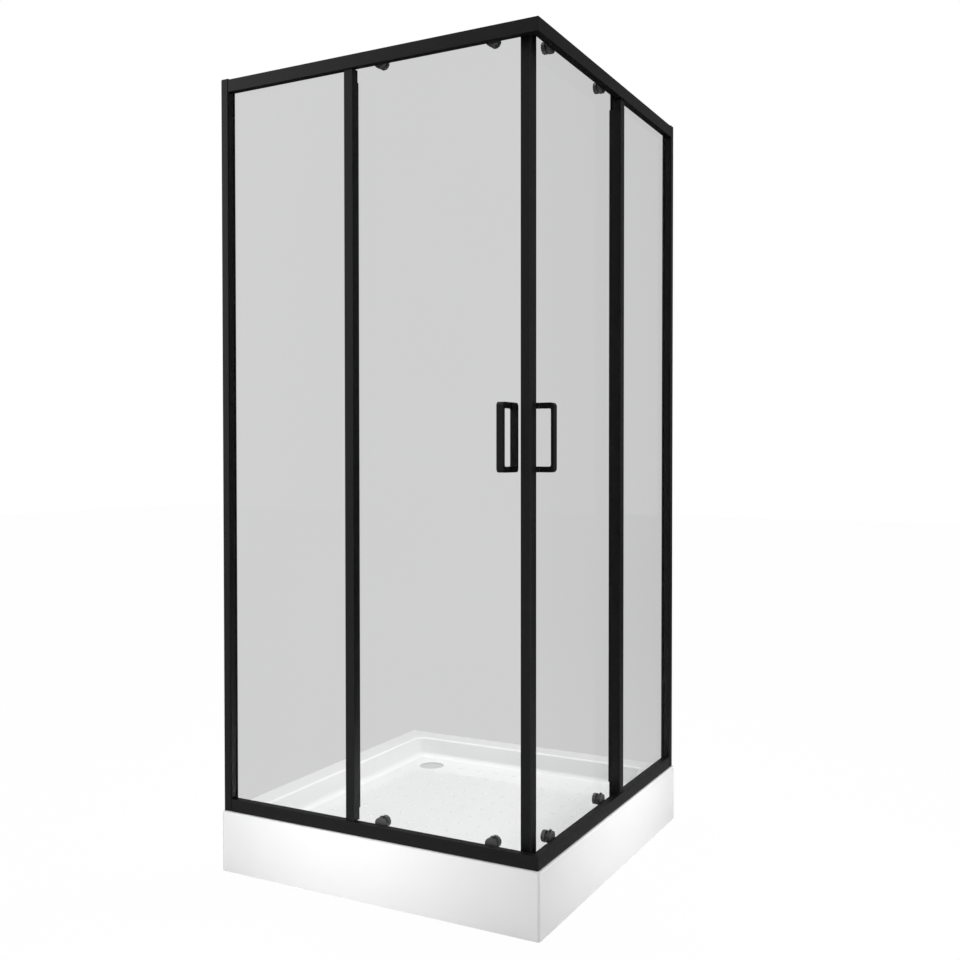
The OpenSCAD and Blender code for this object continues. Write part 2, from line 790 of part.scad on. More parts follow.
// Mitred profile on the door's leading edge, with a chamber in its nose and one in its outer leg
module closing_profile() {
    nose = magnet_t * sqrt(2);
    inner = nose + closing_t * sqrt(2);
    wall_s = door_s0 - closing_t;
    hollow_d0 = closing_d0 + closing_t;
    color(black_coat) translate([0, 0, pane_end_h]) linear_extrude(frame_h - 2 * pane_end_h) difference() {
        polygon([
            [closing_s0 + nose, closing_d0], [closing_s1, closing_d0],
            [closing_s1, closing_d1], [closing_s0 + nose + closing_d1 - closing_d0, closing_d1]
        ]);
        bar(door_s0, pane_d0, closing_grip + over, glass_t);
        bar(door_s0, hollow_d0, closing_grip - closing_t, closing_proud - 2 * closing_t);
        intersection() {
            bar(hollow_d0, hollow_d0, wall_s - hollow_d0, pane_d1 - hollow_d0);
            polygon([
                [hollow_d0 + inner, hollow_d0], [closing_s1 + inner, hollow_d0], [closing_s1 + inner, closing_s1]
            ]);
        }
    }
}

// Strip along the mitre, with two shallow beads
module magnet_seal() {
    nose = magnet_t * sqrt(2);
    face = magnet_gap / sqrt(2);
    color(soft_black) translate([0, 0, pane_end_h]) linear_extrude(frame_h - 2 * pane_end_h) polygon([
        [closing_s0 + face, closing_d0], [closing_s0 + nose, closing_d0],
        [closing_d1 + nose, closing_d1], [closing_d1 + face, closing_d1]
    ]);
}

// Channel on the trailing edge with a fin that leans towards the fixed pane
module trailing_seal() {
    leg = 7;
    leg_t = 1.1;
    fin_reach = 6;
    fin_lean = 2;
    fin_t = 1;
    fin_inset = 0.1;
    root_d = pane_d0 - leg_t / 2;
    tip_d = pane_d0 - leg_t - fin_reach;
    color(soft_black) translate([0, 0, pane_end_h]) linear_extrude(frame_h - 2 * pane_end_h) difference() {
        union() {
            bar(door_s1 - leg, pane_d0 - leg_t, leg + leg_t, glass_t + 2 * leg_t);
            polygon([
                [door_s1 + fin_lean, tip_d], [door_s1 + fin_t + fin_lean, tip_d],
                [door_s1 + fin_t, root_d], [door_s1 + fin_inset, root_d]
            ]);
        }
        bar(door_s1 - leg - over, pane_d0, leg + over, glass_t);
    }
}

// Handles

// Flat bar bent to a D, standing out of the plane d = 0 towards -Y
module handle() {
    inner_h = handle_h - 2 * handle_arm_h;
    grip_r = handle_r / 2;
    difference() {
        translate([handle_s - handle_w / 2, 0, handle_z]) rotate([90, 0, 90]) linear_extrude(handle_w)
            difference() {
                intersection() {
                    round_rect(2 * handle_reach, handle_h, handle_r);
                    bar(-handle_reach, -handle_h / 2, handle_reach, handle_h);
                }
                intersection() {
                    round_rect(2 * (handle_reach - handle_bar_t), inner_h, grip_r);
                    bar(-handle_reach, -inner_h / 2, handle_reach + over, inner_h);
                }
            }
        for (z = handle_stud_heights) translate([handle_s, over, z])
            rotate([90, 0, 0]) cylinder(r = stud_rod_r + bore_gap, h = stud_in + over, $fn = 32);
    }
}

module outer_handle() {
    color(black_coat) translate([0, pane_d0, 0]) handle();
}

module inner_handle() {
    color(black_coat) translate([0, pane_d1, 0]) mirror([0, 1, 0]) handle();
}

module handle_studs() {
    length = glass_t + 2 * (stud_in - stud_play);
    color(steel) for (z = handle_stud_heights)
        translate([handle_s, (pane_d0 + pane_d1 - length) / 2, z])
            rotate([-90, 0, 0]) cylinder(r = stud_rod_r, h = length, $fn = 32);
}

// Rollers

// Groove-tread wheel with a true bore, from its outer flange
module wheel_at(s, z) {
    bevel = 0.8;
    bore_r = axle_r + bore_gap;
    color(nylon) translate([s, wheel_d0, z]) rotate([-90, 0, 0]) rotate_extrude($fn = 64) polygon([
        [bore_r, 0], [flange_r - bevel, 0], [flange_r, bevel], [flange_r, flange_t - bevel / 2],
        [tread_r, flange_t], [tread_r, flange_t + groove_w],
        [flange_r, flange_t + groove_w + bevel / 2], [flange_r, wheel_w - bevel],
        [flange_r - bevel, wheel_w], [bore_r, wheel_w]
    ]);
}

// Round hole along Y, from d to d + depth
module cross_hole(r, d, depth, fn = 32) {
    translate([0, d, 0]) rotate([-90, 0, 0]) cylinder(r = r, h = depth, $fn = fn);
}

// Bodies that carry the top wheels, each with a boss behind its wheel and a ring round its face
module top_rollers() {
    face = 0.5;
    boss_w = 2.5;
    boss_t = 1;
    boss_bevel = 0.3;
    ring_r = top_body_r - 2.5;
    ring_w = 1.2;
    ring_depth = 0.6;
    color(roller_grey) for (s = [near_s, far_s]) translate([s, 0, top_body_z]) difference() {
        union() {
            translate([0, body_d0 + face, 0]) disc(top_body_r, roller_body_t - face, body_bevel);
            translate([0, body_d0, top_body_drop]) disc(axle_r + boss_w, boss_t, boss_bevel, 32);
        }
        translate([0, 0, top_body_drop]) cross_hole(axle_r + bore_gap, body_d0 - over, axle_in + over);
        cross_hole(sleeve_r + sleeve_gap, pane_d0 - sleeve_seat, sleeve_seat + over);
        difference() {
            cross_hole(ring_r, body_d0, face + ring_depth, 64);
            cross_hole(ring_r - ring_w, body_d0 - over, face + ring_depth + 2 * over, 64);
            translate([0, 0, top_body_drop])
                cross_hole(axle_r + boss_w + ring_w, body_d0 - over, boss_t + 2 * over);
        }
    }
}

module top_axles() {
    head_w = 2;
    head_bevel = 0.8;
    socket_r = 1.6;
    socket_depth = 1.4;
    head_r = axle_r + head_w;
    length = axle_head_t + 2 * run_gap + wheel_w + axle_in - slide_gap;
    color(steel) for (s = [near_s, far_s]) translate([s, wheel_d0 - run_gap - axle_head_t, top_axle_z])
        rotate([-90, 0, 0]) difference() {
            union() {
                rotate_extrude($fn = 32) polygon([
                    [0, 0], [head_r - head_bevel, 0], [head_r, head_bevel],
                    [head_r, axle_head_t], [0, axle_head_t]
                ]);
                cylinder(r = axle_r, h = length, $fn = 32);
            }
            translate([0, 0, -over]) cylinder(r = socket_r, h = over + socket_depth, $fn = 6);
        }
}

// Caps inside the pane, with the sleeves that pass through it
module roller_caps() {
    bevel = 1.2;
    sleeve_bevel = 0.3;
    socket_r = 3.2;
    socket_depth = 1.6;
    grooves = 12;
    groove_r = 1.1;
    groove_depth = 0.6;
    length = glass_t + sleeve_in;
    color(roller_grey) for (s = [near_s, far_s], z = [low_body_z, top_body_z])
        translate([s, pane_d1, z]) difference() {
            union() {
                disc(cap_r, cap_thick, bevel);
                translate([0, -length, 0]) disc(sleeve_r, length + eps, sleeve_bevel, 32);
            }
            cross_hole(socket_r, cap_thick - socket_depth, socket_depth + over, 6);
            for (i = [1 : grooves]) rotate([0, 360 * i / grooves, 0])
                translate([cap_r + groove_r - groove_depth, 0, 0])
                    cross_hole(groove_r, -over, cap_thick + 2 * over, 16);
        }
}

// Bottom rollers: a housing on the pane, and a carrier that slides in it

// Housing with round ends, along Y from d to d + t
module low_body(d, t) {
    for (side = [-1, 1]) translate([side * low_body_stretch / 2, d, 0]) disc(low_body_r, t, body_bevel);
    inner_r = low_body_r - body_bevel;
    length = low_body_stretch + 2 * eps;
    translate([-length / 2, d, 0]) rotate([90, 0, 90]) linear_extrude(length) polygon([
        [0, -inner_r], [body_bevel, -low_body_r], [t - body_bevel, -low_body_r], [t, -inner_r],
        [t, inner_r], [t - body_bevel, low_body_r], [body_bevel, low_body_r], [0, inner_r]
    ]);
}

// Square hole or stem on the chamber's axis
module square_post(w, d, z0, z1) {
    translate([-w / 2, chamber_d - d / 2, z0]) cube([w, d, z1 - z0]);
}

module bottom_housings() {
    play = 2 * slide_gap;
    notch_w = 2 * (carrier_half_w + slide_gap);
    notch_low = low_body_z - low_body_r - over;
    color(roller_grey) for (s = [near_s, far_s]) translate([s, 0, 0]) difference() {
        translate([0, 0, low_body_z]) low_body(body_d0, roller_body_t);
        translate([0, chamber_d, chamber_floor_z])
            cylinder(r = chamber_r, h = button_slot_z - chamber_floor_z + eps, $fn = 32);
        square_post(stem_w + play, stem_w + play, notch_low, chamber_floor_z + eps);
        square_post(button_w + play, button_d + play, button_slot_z, low_body_top + over);
        translate([-notch_w / 2, body_d0 - over, notch_low])
            cube([notch_w, carrier_t + slide_gap + over, notch_z - notch_low]);
        translate([0, 0, low_body_z])
            cross_hole(sleeve_r + sleeve_gap, pane_d0 - sleeve_seat, sleeve_seat + over);
    }
}

// Carrier with its wheel's axle, its stem, its collar and its button
module release(s) {
    carrier_z0 = low_axle_z - carrier_drop;
    carrier_z1 = low_axle_z + carrier_rise;
    head_t = 1.6;
    head_rise = 0.6;
    head_bevel = 1;
    slit_w = 0.8;
    hollow_r = 6;
    hollow_depth = 0.8;
    head_r = axle_r + head_rise;
    axle_len = head_t + wheel_w + 2 * run_gap + over;
    color(roller_grey) translate([s, 0, 0]) union() {
        difference() {
            union() {
                square_post(stem_w, stem_w, carrier_z1 - over, button_z0 + eps);
                square_post(button_w, button_d, button_z0, button_z1);
                translate([0, chamber_d, collar_z]) cylinder(r = collar_r, h = collar_t, $fn = 32);
            }
            translate([-button_w / 2 - over, chamber_d, button_z1 + hollow_r - hollow_depth])
                rotate([0, 90, 0]) cylinder(r = hollow_r, h = button_w + 2 * over);
        }
        translate([-carrier_half_w, body_d0, carrier_z0])
            cube([2 * carrier_half_w, carrier_t, carrier_z1 - carrier_z0]);
        translate([0, wheel_d0 - run_gap - head_t, low_axle_z]) rotate([-90, 0, 0]) difference() {
            rotate_extrude($fn = 32) polygon([
                [0, 0], [axle_r - head_rise, 0], [head_r, head_bevel], [head_r, head_t], [axle_r, head_t],
                [axle_r, axle_len], [0, axle_len]
            ]);
            translate([-slit_w / 2, -head_r - over, -over])
                cube([slit_w, 2 * (head_r + over), over + head_t + wheel_w / 2]);
        }
    }
}

// Helical spring of round wire, swept as one closed tube
module coil_spring(mean_r, wire, height, turns) {
    steps = 12;
    sides = 6;
    rings = steps * turns;
    rise = height - wire;
    function ring_at(i) = let (a = 360 * i / steps, z = wire / 2 + rise * i / rings) [
        for (k = [0 : sides - 1]) let (b = 360 * k / sides, r = mean_r + wire / 2 * cos(b))
            [r * cos(a), r * sin(a), z + wire / 2 * sin(b)]
    ];
    points = [for (i = [0 : rings]) each ring_at(i)];
    walls = [
        for (i = [0 : rings - 1], k = [0 : sides - 1])
            let (k2 = (k + 1) % sides, p = i * sides, q = p + sides)
            each [[p + k, q + k, q + k2], [p + k, q + k2, p + k2]]
    ];
    first = [for (k = [0 : sides - 1]) k];
    last = [for (k = [sides - 1 : -1 : 0]) rings * sides + k];
    polyhedron(points, concat(walls, [first, last]));
}

module release_springs() {
    end_gap = 0.1;
    mean_r = collar_r - spring_wire / 2;
    height = collar_z - chamber_floor_z - 2 * end_gap;
    color(steel) for (s = [near_s, far_s])
        translate([s, chamber_d, chamber_floor_z + end_gap])
            coil_spring(mean_r, spring_wire, height, spring_turns);
}

// Rubber block in the rail that the far wheel meets when the door is open
module door_stop() {
    s = far_s + travel + flange_r + run_gap;
    rib_gap = 1;
    height = rib_h - rib_gap - web_t;
    length = 14;
    nose = 3;
    depth = wheel_d1 - rail_d;
    color(soft_black) translate([s, wheel_d1, web_t]) rotate([90, 0, 0]) linear_extrude(depth) {
        translate([nose, 0]) square([length - nose, height]);
        translate([0, nose]) square([nose + eps, height - 2 * nose]);
        for (h = [nose, height - nose]) translate([nose, h]) circle(nose, $fn = 32);
    }
}

// Frame screws

// Pan-head screw along -Z from the seat of its head
module pan_screw(length) {
    crown = 1;
    point = 1;
    rotate_extrude($fn = 24) polygon([
        [0, screw_head_h], [screw_head_r - crown, screw_head_h], [screw_head_r, screw_head_h - crown],
        [screw_head_r, 0], [screw_d / 2, 0], [screw_d / 2, point - length], [0, -length]
    ]);
}

// Countersunk screw along +Z from the face of its head
module sunk_screw(length) {
    sunk_gap = 0.1;
    point = 1;
    rotate_extrude($fn = 24) polygon([
        [0, 0], [screw_head_r - sunk_gap, 0], [screw_d / 2, web_t - sunk_gap],
        [screw_d / 2, length - point], [0, length]
    ]);
}

module face_screws() {
    for (z = [port_place[1], port_place_far[1], frame_h - port_place[1], frame_h - port_place_far[1]])
        translate([jamb_s + rail_t, port_place[0], z]) rotate([0, 90, 0]) pan_screw(screw_len + rail_t);
    translate([post_mid_s, post_port_d, 0]) sunk_screw(rail_h + screw_len);
    at_top() translate([post_mid_s, post_port_d, 0]) sunk_screw(rail_h + screw_len);
    for (z = jamb_screw_heights)
        translate([jamb_screw_s, wall_profile_d, z]) rotate([-90, 0, 0]) pan_screw(jamb_screw_len);
}

// Nodes

module front_wall_profile() { on_front() wall_profile(); }
module side_wall_profile() { on_side() wall_profile(); }
module wall_profile_caps() {
    on_front() wall_profile_cap();
    on_side() wall_profile_cap();
}
module front_jamb() { on_front() jamb(); }
module side_jamb() { on_side() jamb(); }
module front_top_rail() { on_front() at_top() rail(); }
module side_top_rail() { on_side() at_top() rail(); }
module front_bottom_rail() { on_front() rail(); }
module side_bottom_rail() { on_side() rail(); }
module corner_keys() {
    on_front() corner_key();
    on_front() at_top() corner_key();
}
module front_post() { on_front() post(); }
module side_post() { on_side() post(); }
module front_post_seal() { on_front() post_seal(); }
module side_post_seal() { on_side() post_seal(); }
module front_fixed_pane() { on_front() fixed_pane(); }
module side_fixed_pane() { on_side() fixed_pane(); }
module front_glazing_seal() { on_front() glazing_seal(); }
module side_glazing_seal() { on_side() glazing_seal(); }
module door_stops() {
    on_front() door_stop();
    on_front() at_top() door_stop();
    on_side() door_stop();
    on_side() at_top() door_stop();
}
module frame_screws() {
    color(steel) on_front() face_screws();
    color(steel) on_side() face_screws();
}
module front_door_pane() { on_front() door_pane(); }
module side_door_pane() { on_side() door_pane(); }
module front_closing_profile() { on_front() closing_profile(); }
module side_closing_profile() { on_side() closing_profile(); }
module front_magnet_seal() { on_front() magnet_seal(); }
module side_magnet_seal() { on_side() magnet_seal(); }
module front_trailing_seal() { on_front() trailing_seal(); }
module side_trailing_seal() { on_side() trailing_seal(); }
module front_outer_handle() { on_front() outer_handle(); }
module side_outer_handle() { on_side() outer_handle(); }
module front_inner_handle() { on_front() inner_handle(); }
module side_inner_handle() { on_side() inner_handle(); }
module front_handle_studs() { on_front() handle_studs(); }
module side_handle_studs() { on_side() handle_studs(); }
module front_top_rollers() { on_front() top_rollers(); }
module side_top_rollers() { on_side() top_rollers(); }
module front_top_axles() { on_front() top_axles(); }
module side_top_axles() { on_side() top_axles(); }
module front_roller_caps() { on_front() roller_caps(); }
module side_roller_caps() { on_side() roller_caps(); }
module front_bottom_housings() { on_front() bottom_housings(); }
module side_bottom_housings() { on_side() bottom_housings(); }
module front_release_springs() { on_front() release_springs(); }
module side_release_springs() { on_side() release_springs(); }
module front_near_release() { on_front() release(near_s); }
module front_far_release() { on_front() release(far_s); }
module side_near_release() { on_side() release(near_s); }
module side_far_release() { on_side() release(far_s); }
module front_top_near_wheel() { on_front() wheel_at(near_s, top_axle_z); }
module front_top_far_wheel() { on_front() wheel_at(far_s, top_axle_z); }
module front_bottom_near_wheel() { on_front() wheel_at(near_s, low_axle_z); }
module front_bottom_far_wheel() { on_front() wheel_at(far_s, low_axle_z); }
module side_top_near_wheel() { on_side() wheel_at(near_s, top_axle_z); }
module side_top_far_wheel() { on_side() wheel_at(far_s, top_axle_z); }
module side_bottom_near_wheel() { on_side() wheel_at(near_s, low_axle_z); }
module side_bottom_far_wheel() { on_side() wheel_at(far_s, low_axle_z); }

tray();
support_frame();
tray_feet();
foot_locknuts();
front_wall_profile();
side_wall_profile();
wall_profile_caps();
front_jamb();
side_jamb();
front_top_rail();
side_top_rail();
front_bottom_rail();
side_bottom_rail();
corner_keys();
front_post();
side_post();
front_post_seal();
side_post_seal();
front_fixed_pane();
side_fixed_pane();
front_glazing_seal();
side_glazing_seal();
door_stops();
frame_screws();
front_door_pane();
side_door_pane();
front_closing_profile();
side_closing_profile();
front_magnet_seal();
side_magnet_seal();
front_trailing_seal();
side_trailing_seal();
front_outer_handle();
side_outer_handle();
front_inner_handle();
side_inner_handle();
front_handle_studs();
side_handle_studs();
front_top_rollers();
side_top_rollers();
front_top_axles();
side_top_axles();
front_roller_caps();
side_roller_caps();
front_bottom_housings();
side_bottom_housings();
front_release_springs();
side_release_springs();
front_near_release();
front_far_release();
side_near_release();
side_far_release();
front_top_near_wheel();
front_top_far_wheel();
front_bottom_near_wheel();
front_bottom_far_wheel();
side_top_near_wheel();
side_top_far_wheel();
side_bottom_near_wheel();
side_bottom_far_wheel();
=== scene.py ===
"""Scene of a square corner-entry shower cabin on a low tray.

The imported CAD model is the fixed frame. Every piece made here rides on one of its bodies, in
metres, in the frame's own axes: Z up, the entry corner at +X and -Y, the room's walls at -X and +Y.
"""
from __future__ import annotations

import json
import logging
import math
from collections.abc import Callable, Iterable
from dataclasses import dataclass
from enum import Enum

import bmesh
import bpy
from mathutils import Matrix, Vector

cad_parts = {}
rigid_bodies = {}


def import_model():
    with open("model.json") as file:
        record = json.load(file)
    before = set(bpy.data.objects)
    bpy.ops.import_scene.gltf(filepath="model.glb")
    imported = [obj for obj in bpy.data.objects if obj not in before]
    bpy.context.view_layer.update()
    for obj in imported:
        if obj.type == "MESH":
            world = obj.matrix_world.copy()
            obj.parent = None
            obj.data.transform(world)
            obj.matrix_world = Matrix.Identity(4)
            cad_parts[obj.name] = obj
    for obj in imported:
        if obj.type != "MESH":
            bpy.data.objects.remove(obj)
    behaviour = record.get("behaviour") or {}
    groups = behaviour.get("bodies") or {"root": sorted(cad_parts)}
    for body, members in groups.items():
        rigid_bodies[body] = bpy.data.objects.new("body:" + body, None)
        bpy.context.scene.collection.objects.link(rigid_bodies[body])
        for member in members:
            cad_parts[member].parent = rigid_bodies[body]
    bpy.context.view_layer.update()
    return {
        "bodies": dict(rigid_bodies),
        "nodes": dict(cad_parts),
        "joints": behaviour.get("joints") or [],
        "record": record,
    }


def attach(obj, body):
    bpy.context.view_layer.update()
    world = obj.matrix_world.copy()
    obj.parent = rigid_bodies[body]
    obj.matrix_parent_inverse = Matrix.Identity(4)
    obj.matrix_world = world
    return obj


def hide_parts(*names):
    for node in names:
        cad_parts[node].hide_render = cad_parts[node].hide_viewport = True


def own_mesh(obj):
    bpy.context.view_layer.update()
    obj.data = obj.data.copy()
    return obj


LOG = logging.getLogger("cabin")

# Millimetres that several classes share: the rails' outer faces from the middle, the tray's rim,
# how near two places count as one, and how far a cutter reaches past a surface.
CORNER = 443.5
RIM = 153.0
NEAR = 0.01
PAST = 1.0

# From the bench's millimetres to the part's metres, for pieces drawn about the part's origin.
MM = 0.001
PLAN = Matrix.Scale(MM, 4)

# The span that most of a noise pattern's values fall in.
NOISE = (0.3, 0.7)

# Degrees up to which edges are shaded smooth, on a piece that needs no angle of its own.
SMOOTH = 35.0

Point = tuple[float, float]
Triple = tuple[float, float, float]
Socket = bpy.types.NodeSocket


class Face(Enum):
    """The two glazed faces, each with the directions along and through it."""

    FRONT = "front"
    SIDE = "side"

    @property
    def inwards(self) -> Vector:
        """Unit vector from the room through the face into the cabin."""
        return Vector((0, 1, 0)) if self is Face.FRONT else Vector((-1, 0, 0))

    @property
    def along(self) -> Vector:
        """Unit vector from the entry corner along the face."""
        return Vector((-1, 0, 0)) if self is Face.FRONT else Vector((0, 1, 0))

    def point(self, s: float, z: float, d: float) -> Vector:
        """A place on the face, in metres of the part's frame.

        Args:
            s: Distance from the entry corner, in millimetres.
            z: Height above the tray's rim.
            d: Depth inwards from the rails' outer face.

        Returns:
            The place.
        """
        corner = Vector((CORNER, -CORNER, RIM))
        return (corner + self.along * s + self.inwards * d + Vector((0, 0, z))) * MM

    def drawn(self) -> Matrix:
        """Matrix for a piece drawn on the face: X along it, Y up from the rim, Z inwards."""
        axes = Matrix((self.along, (0, 0, 1), self.inwards)).transposed().to_4x4()
        return Matrix.Translation(self.point(0, 0, 0)) @ axes @ PLAN

    def upright(self, s: float, z: float, d: float) -> Matrix:
        """Matrix for a piece that stands upright at a place on the face.

        Args:
            s: Distance of its origin from the entry corner, in millimetres.
            z: Height of its origin above the tray's rim.
            d: Depth of its origin.

        Returns:
            The matrix from the piece's millimetres to the part's metres.
        """
        return Matrix.Translation(self.point(s, z, d)) @ PLAN


# Node sheets and finishes


class Nodes:
    """A node tree, with the steps that the finishes and the studio share."""

    def __init__(self, tree: bpy.types.NodeTree) -> None:
        """Takes the tree to draw in."""
        self.tree = tree

    def feed(self, socket: Socket, value: Socket | float | tuple[float, ...]) -> None:
        """Joins an output to a socket, or sets the socket's own value.

        Args:
            socket: The input socket.
            value: An output socket, or a plain number, vector or colour.
        """
        if isinstance(value, bpy.types.NodeSocket):
            self.tree.links.new(value, socket)
        else:
            socket.default_value = value

    def node(self, kind: str, inputs: dict, **settings: str) -> bpy.types.Node:
        """Adds a node and feeds its sockets.

        Args:
            kind: The node's type, without the word ShaderNode before it.
            inputs: What each of its sockets gets, by the socket's name or number.
            **settings: The node's own settings.

        Returns:
            The node.
        """
        node = self.tree.nodes.new("ShaderNode" + kind)
        for name, setting in settings.items():
            setattr(node, name, setting)
        for name, value in inputs.items():
            self.feed(node.inputs[name], value)
        return node

    def reckon(self, operation: str, a: Socket, b: Socket | float) -> Socket:
        """One operation on two values."""
        return self.node("Math", {0: a, 1: b}, operation=operation).outputs[0]

    def vector(self, operation: str, a: Socket, b: Triple = (0.0, 0.0, 0.0)) -> Socket:
        """One operation on two vectors that gives a vector."""
        return self.node("VectorMath", {0: a, 1: b}, operation=operation).outputs["Vector"]

    def along(self, place: Socket, side: Triple) -> Socket:
        """How far a place lies in a direction."""
        node = self.node("VectorMath", {0: place, 1: side}, operation="DOT_PRODUCT")
        return node.outputs["Value"]

    def mapped(self, value: Socket, span: Point, levels: Point, kind: str = "LINEAR") -> Socket:
        """Maps a span of values onto a range of plain numbers.

        Args:
            value: What is mapped.
            span: The values that stand for the range's two ends.
            levels: The range's two ends.
            kind: How it runs between them.

        Returns:
            The mapped output.
        """
        inputs = {
            "Value": value, "From Min": span[0], "From Max": span[1],
            "To Min": levels[0], "To Max": levels[1],
        }
        return self.node("MapRange", inputs, interpolation_type=kind).outputs["Result"]


class Sheet(Nodes):
    """A material's node tree, drawn round its Principled shader."""

    def __init__(self, name: str) -> None:
        """Makes the material.

        Args:
            name: The material's name.
        """
        self.material = bpy.data.materials.new(name)
        self.material.use_nodes = True
        super().__init__(self.material.node_tree)
        self.shader = self.tree.nodes["Principled BSDF"]
        self.place = self.node("TexCoord", {}).outputs["Object"]

    def finished(self, sockets: dict) -> bpy.types.Material:
        """Feeds the shader's own sockets.

        Args:
            sockets: What each socket gets, by its name.

        Returns:
            The material.
        """
        for name, value in sockets.items():
            self.feed(self.shader.inputs[name], value)
        return self.material

    def stretched(self, scale: Triple) -> Socket:
        """Object coordinates with another scale along each axis."""
        return self.node("Mapping", {"Scale": scale, "Vector": self.place}).outputs["Vector"]

    def noise(self, scale: float, detail: float = 2.0, place: Socket | None = None) -> Socket:
        """A noise pattern over the piece.

        Args:
            scale: Patches per metre.
            detail: Octaves of finer noise.
            place: Coordinates, if not the object's own.

        Returns:
            The noise's value output.
        """
        inputs = {"Scale": scale, "Detail": detail, "Vector": place or self.place}
        return self.node("TexNoise", inputs).outputs["Fac"]

    def crystals(self, scale: float) -> tuple[Socket, Socket]:
        """Random values for each crystal-like cell.

        Args:
            scale: Cells per metre.

        Returns:
            The outputs of two values that don't depend on each other.
        """
        cells = self.node("TexVoronoi", {"Scale": scale, "Vector": self.place})
        split = self.node("SeparateColor", {"Color": cells.outputs["Color"]})
        return split.outputs["Red"], split.outputs["Green"]

    def ramp(self, value: Socket, low: Triple, high: Triple, span: Point = NOISE) -> Socket:
        """Colours a value between two tones.

        Args:
            value: What is coloured.
            low: Colour at the span's start.
            high: Colour at the span's end.
            span: Where on the value the two tones lie.

        Returns:
            The ramp's colour output.
        """
        node = self.node("ValToRGB", {"Fac": value})
        for stop, place, colour in zip(node.color_ramp.elements, span, (low, high)):
            stop.position = place
            stop.color = (*colour, 1.0)
        return node.outputs["Color"]

    def bump(self, height: Socket, strength: float, depth: float) -> Socket:
        """Raises the surface's grain.

        Args:
            height: The pattern of heights.
            strength: Share of the effect.
            depth: Height of the grain in metres.

        Returns:
            The normal's output.
        """
        inputs = {"Strength": strength, "Distance": depth, "Height": height}
        return self.node("Bump", inputs).outputs["Normal"]


def tone(colour: Triple, share: float) -> Triple:
    """The colour made lighter or darker by a share, and no lighter than white."""
    return tuple(min(1.0, c * share) for c in colour)


@dataclass(frozen=True)
class Coating:
    """A dielectric finish: coat, plastic, rubber or acrylic.

    The colour swings by a share over patches, the roughness between two numbers over patches so
    many times finer, and the relief is the grain's strength and depth. Patches and grain are
    counted per metre.
    """

    name: str
    colour: Triple
    rough: Point
    patch: float
    swing: float
    grain: float
    relief: Point
    finer: float = 3.0
    gloss: float = 0.5
    coat: float = 0.0
    coat_rough: float = 0.06
    sheen: float = 0.0
    soft: float = 0.0
    soft_depth: Triple = (0.004, 0.004, 0.003)

    def material(self) -> bpy.types.Material:
        """Builds the finish's material.

        Returns:
            The material.
        """
        sheet = Sheet(self.name)
        low, high = (tone(self.colour, 1 + swing) for swing in (-self.swing, self.swing))
        return sheet.finished({
            "Base Color": sheet.ramp(sheet.noise(self.patch, detail=3.0), low, high),
            "Roughness": sheet.mapped(sheet.noise(self.patch * self.finer), NOISE, self.rough),
            "Normal": sheet.bump(sheet.noise(self.grain), *self.relief),
            "Specular IOR Level": self.gloss,
            "Coat Weight": self.coat,
            "Coat Roughness": self.coat_rough,
            "Sheen Weight": self.sheen,
            "Subsurface Weight": self.soft,
            "Subsurface Radius": self.soft_depth,
        })


@dataclass(frozen=True)
class Brushed:
    """A bare metal brushed along Z; its tones are shares of the colour."""

    name: str
    colour: Triple
    rough: Point
    swing: Point = (0.82, 1.12)
    lines: float = 900.0
    stretch: Triple = (1.0, 1.0, 0.05)
    relief: Point = (0.06, 0.0001)

    def material(self) -> bpy.types.Material:
        """Builds the finish's material.

        Returns:
            The material.
        """
        sheet = Sheet(self.name)
        lines = sheet.noise(self.lines, detail=3.0, place=sheet.stretched(self.stretch))
        return sheet.finished({
            "Base Color": sheet.ramp(lines, *(tone(self.colour, share) for share in self.swing)),
            "Roughness": sheet.mapped(lines, NOISE, self.rough),
            "Normal": sheet.bump(lines, *self.relief),
            "Metallic": 1.0,
        })


@dataclass(frozen=True)
class Spangled:
    """A bare metal with the spangle of hot-dip zinc; its tones are shares of the colour."""

    name: str
    colour: Triple
    rough: Point
    swing: Point = (0.82, 1.12)
    crystals: float = 140.0
    ripple: float = 260.0
    relief: Point = (0.08, 0.0003)

    def material(self) -> bpy.types.Material:
        """Builds the finish's material.

        Returns:
            The material.
        """
        sheet = Sheet(self.name)
        shade, polish = sheet.crystals(self.crystals)
        low, high = (tone(self.colour, share) for share in self.swing)
        return sheet.finished({
            "Base Color": sheet.ramp(shade, low, high, span=(0.0, 1.0)),
            "Roughness": sheet.mapped(polish, NOISE, self.rough),
            "Normal": sheet.bump(sheet.noise(self.ripple), *self.relief),
            "Metallic": 1.0,
        })


@dataclass(frozen=True)
class Glass:
    """Clear toughened glass with the faint roll wave of the furnace.

    It bends and mirrors less than real glass, so that the panes stay an even tone.
    """

    name: str
    tint: Triple
    wave: float = 3.0
    swing: float = 0.995
    bend: float = 1.15
    gloss: float = 0.3

    def material(self) -> bpy.types.Material:
        """Builds the finish's material.

        Returns:
            The material.
        """
        sheet = Sheet(self.name)
        low = tone(self.tint, self.swing)
        return sheet.finished({
            "Base Color": sheet.ramp(sheet.noise(self.wave), low, self.tint),
            "Roughness": 0.0,
            "IOR": self.bend,
            "Specular IOR Level": self.gloss,
            "Transmission Weight": 1.0,
        })


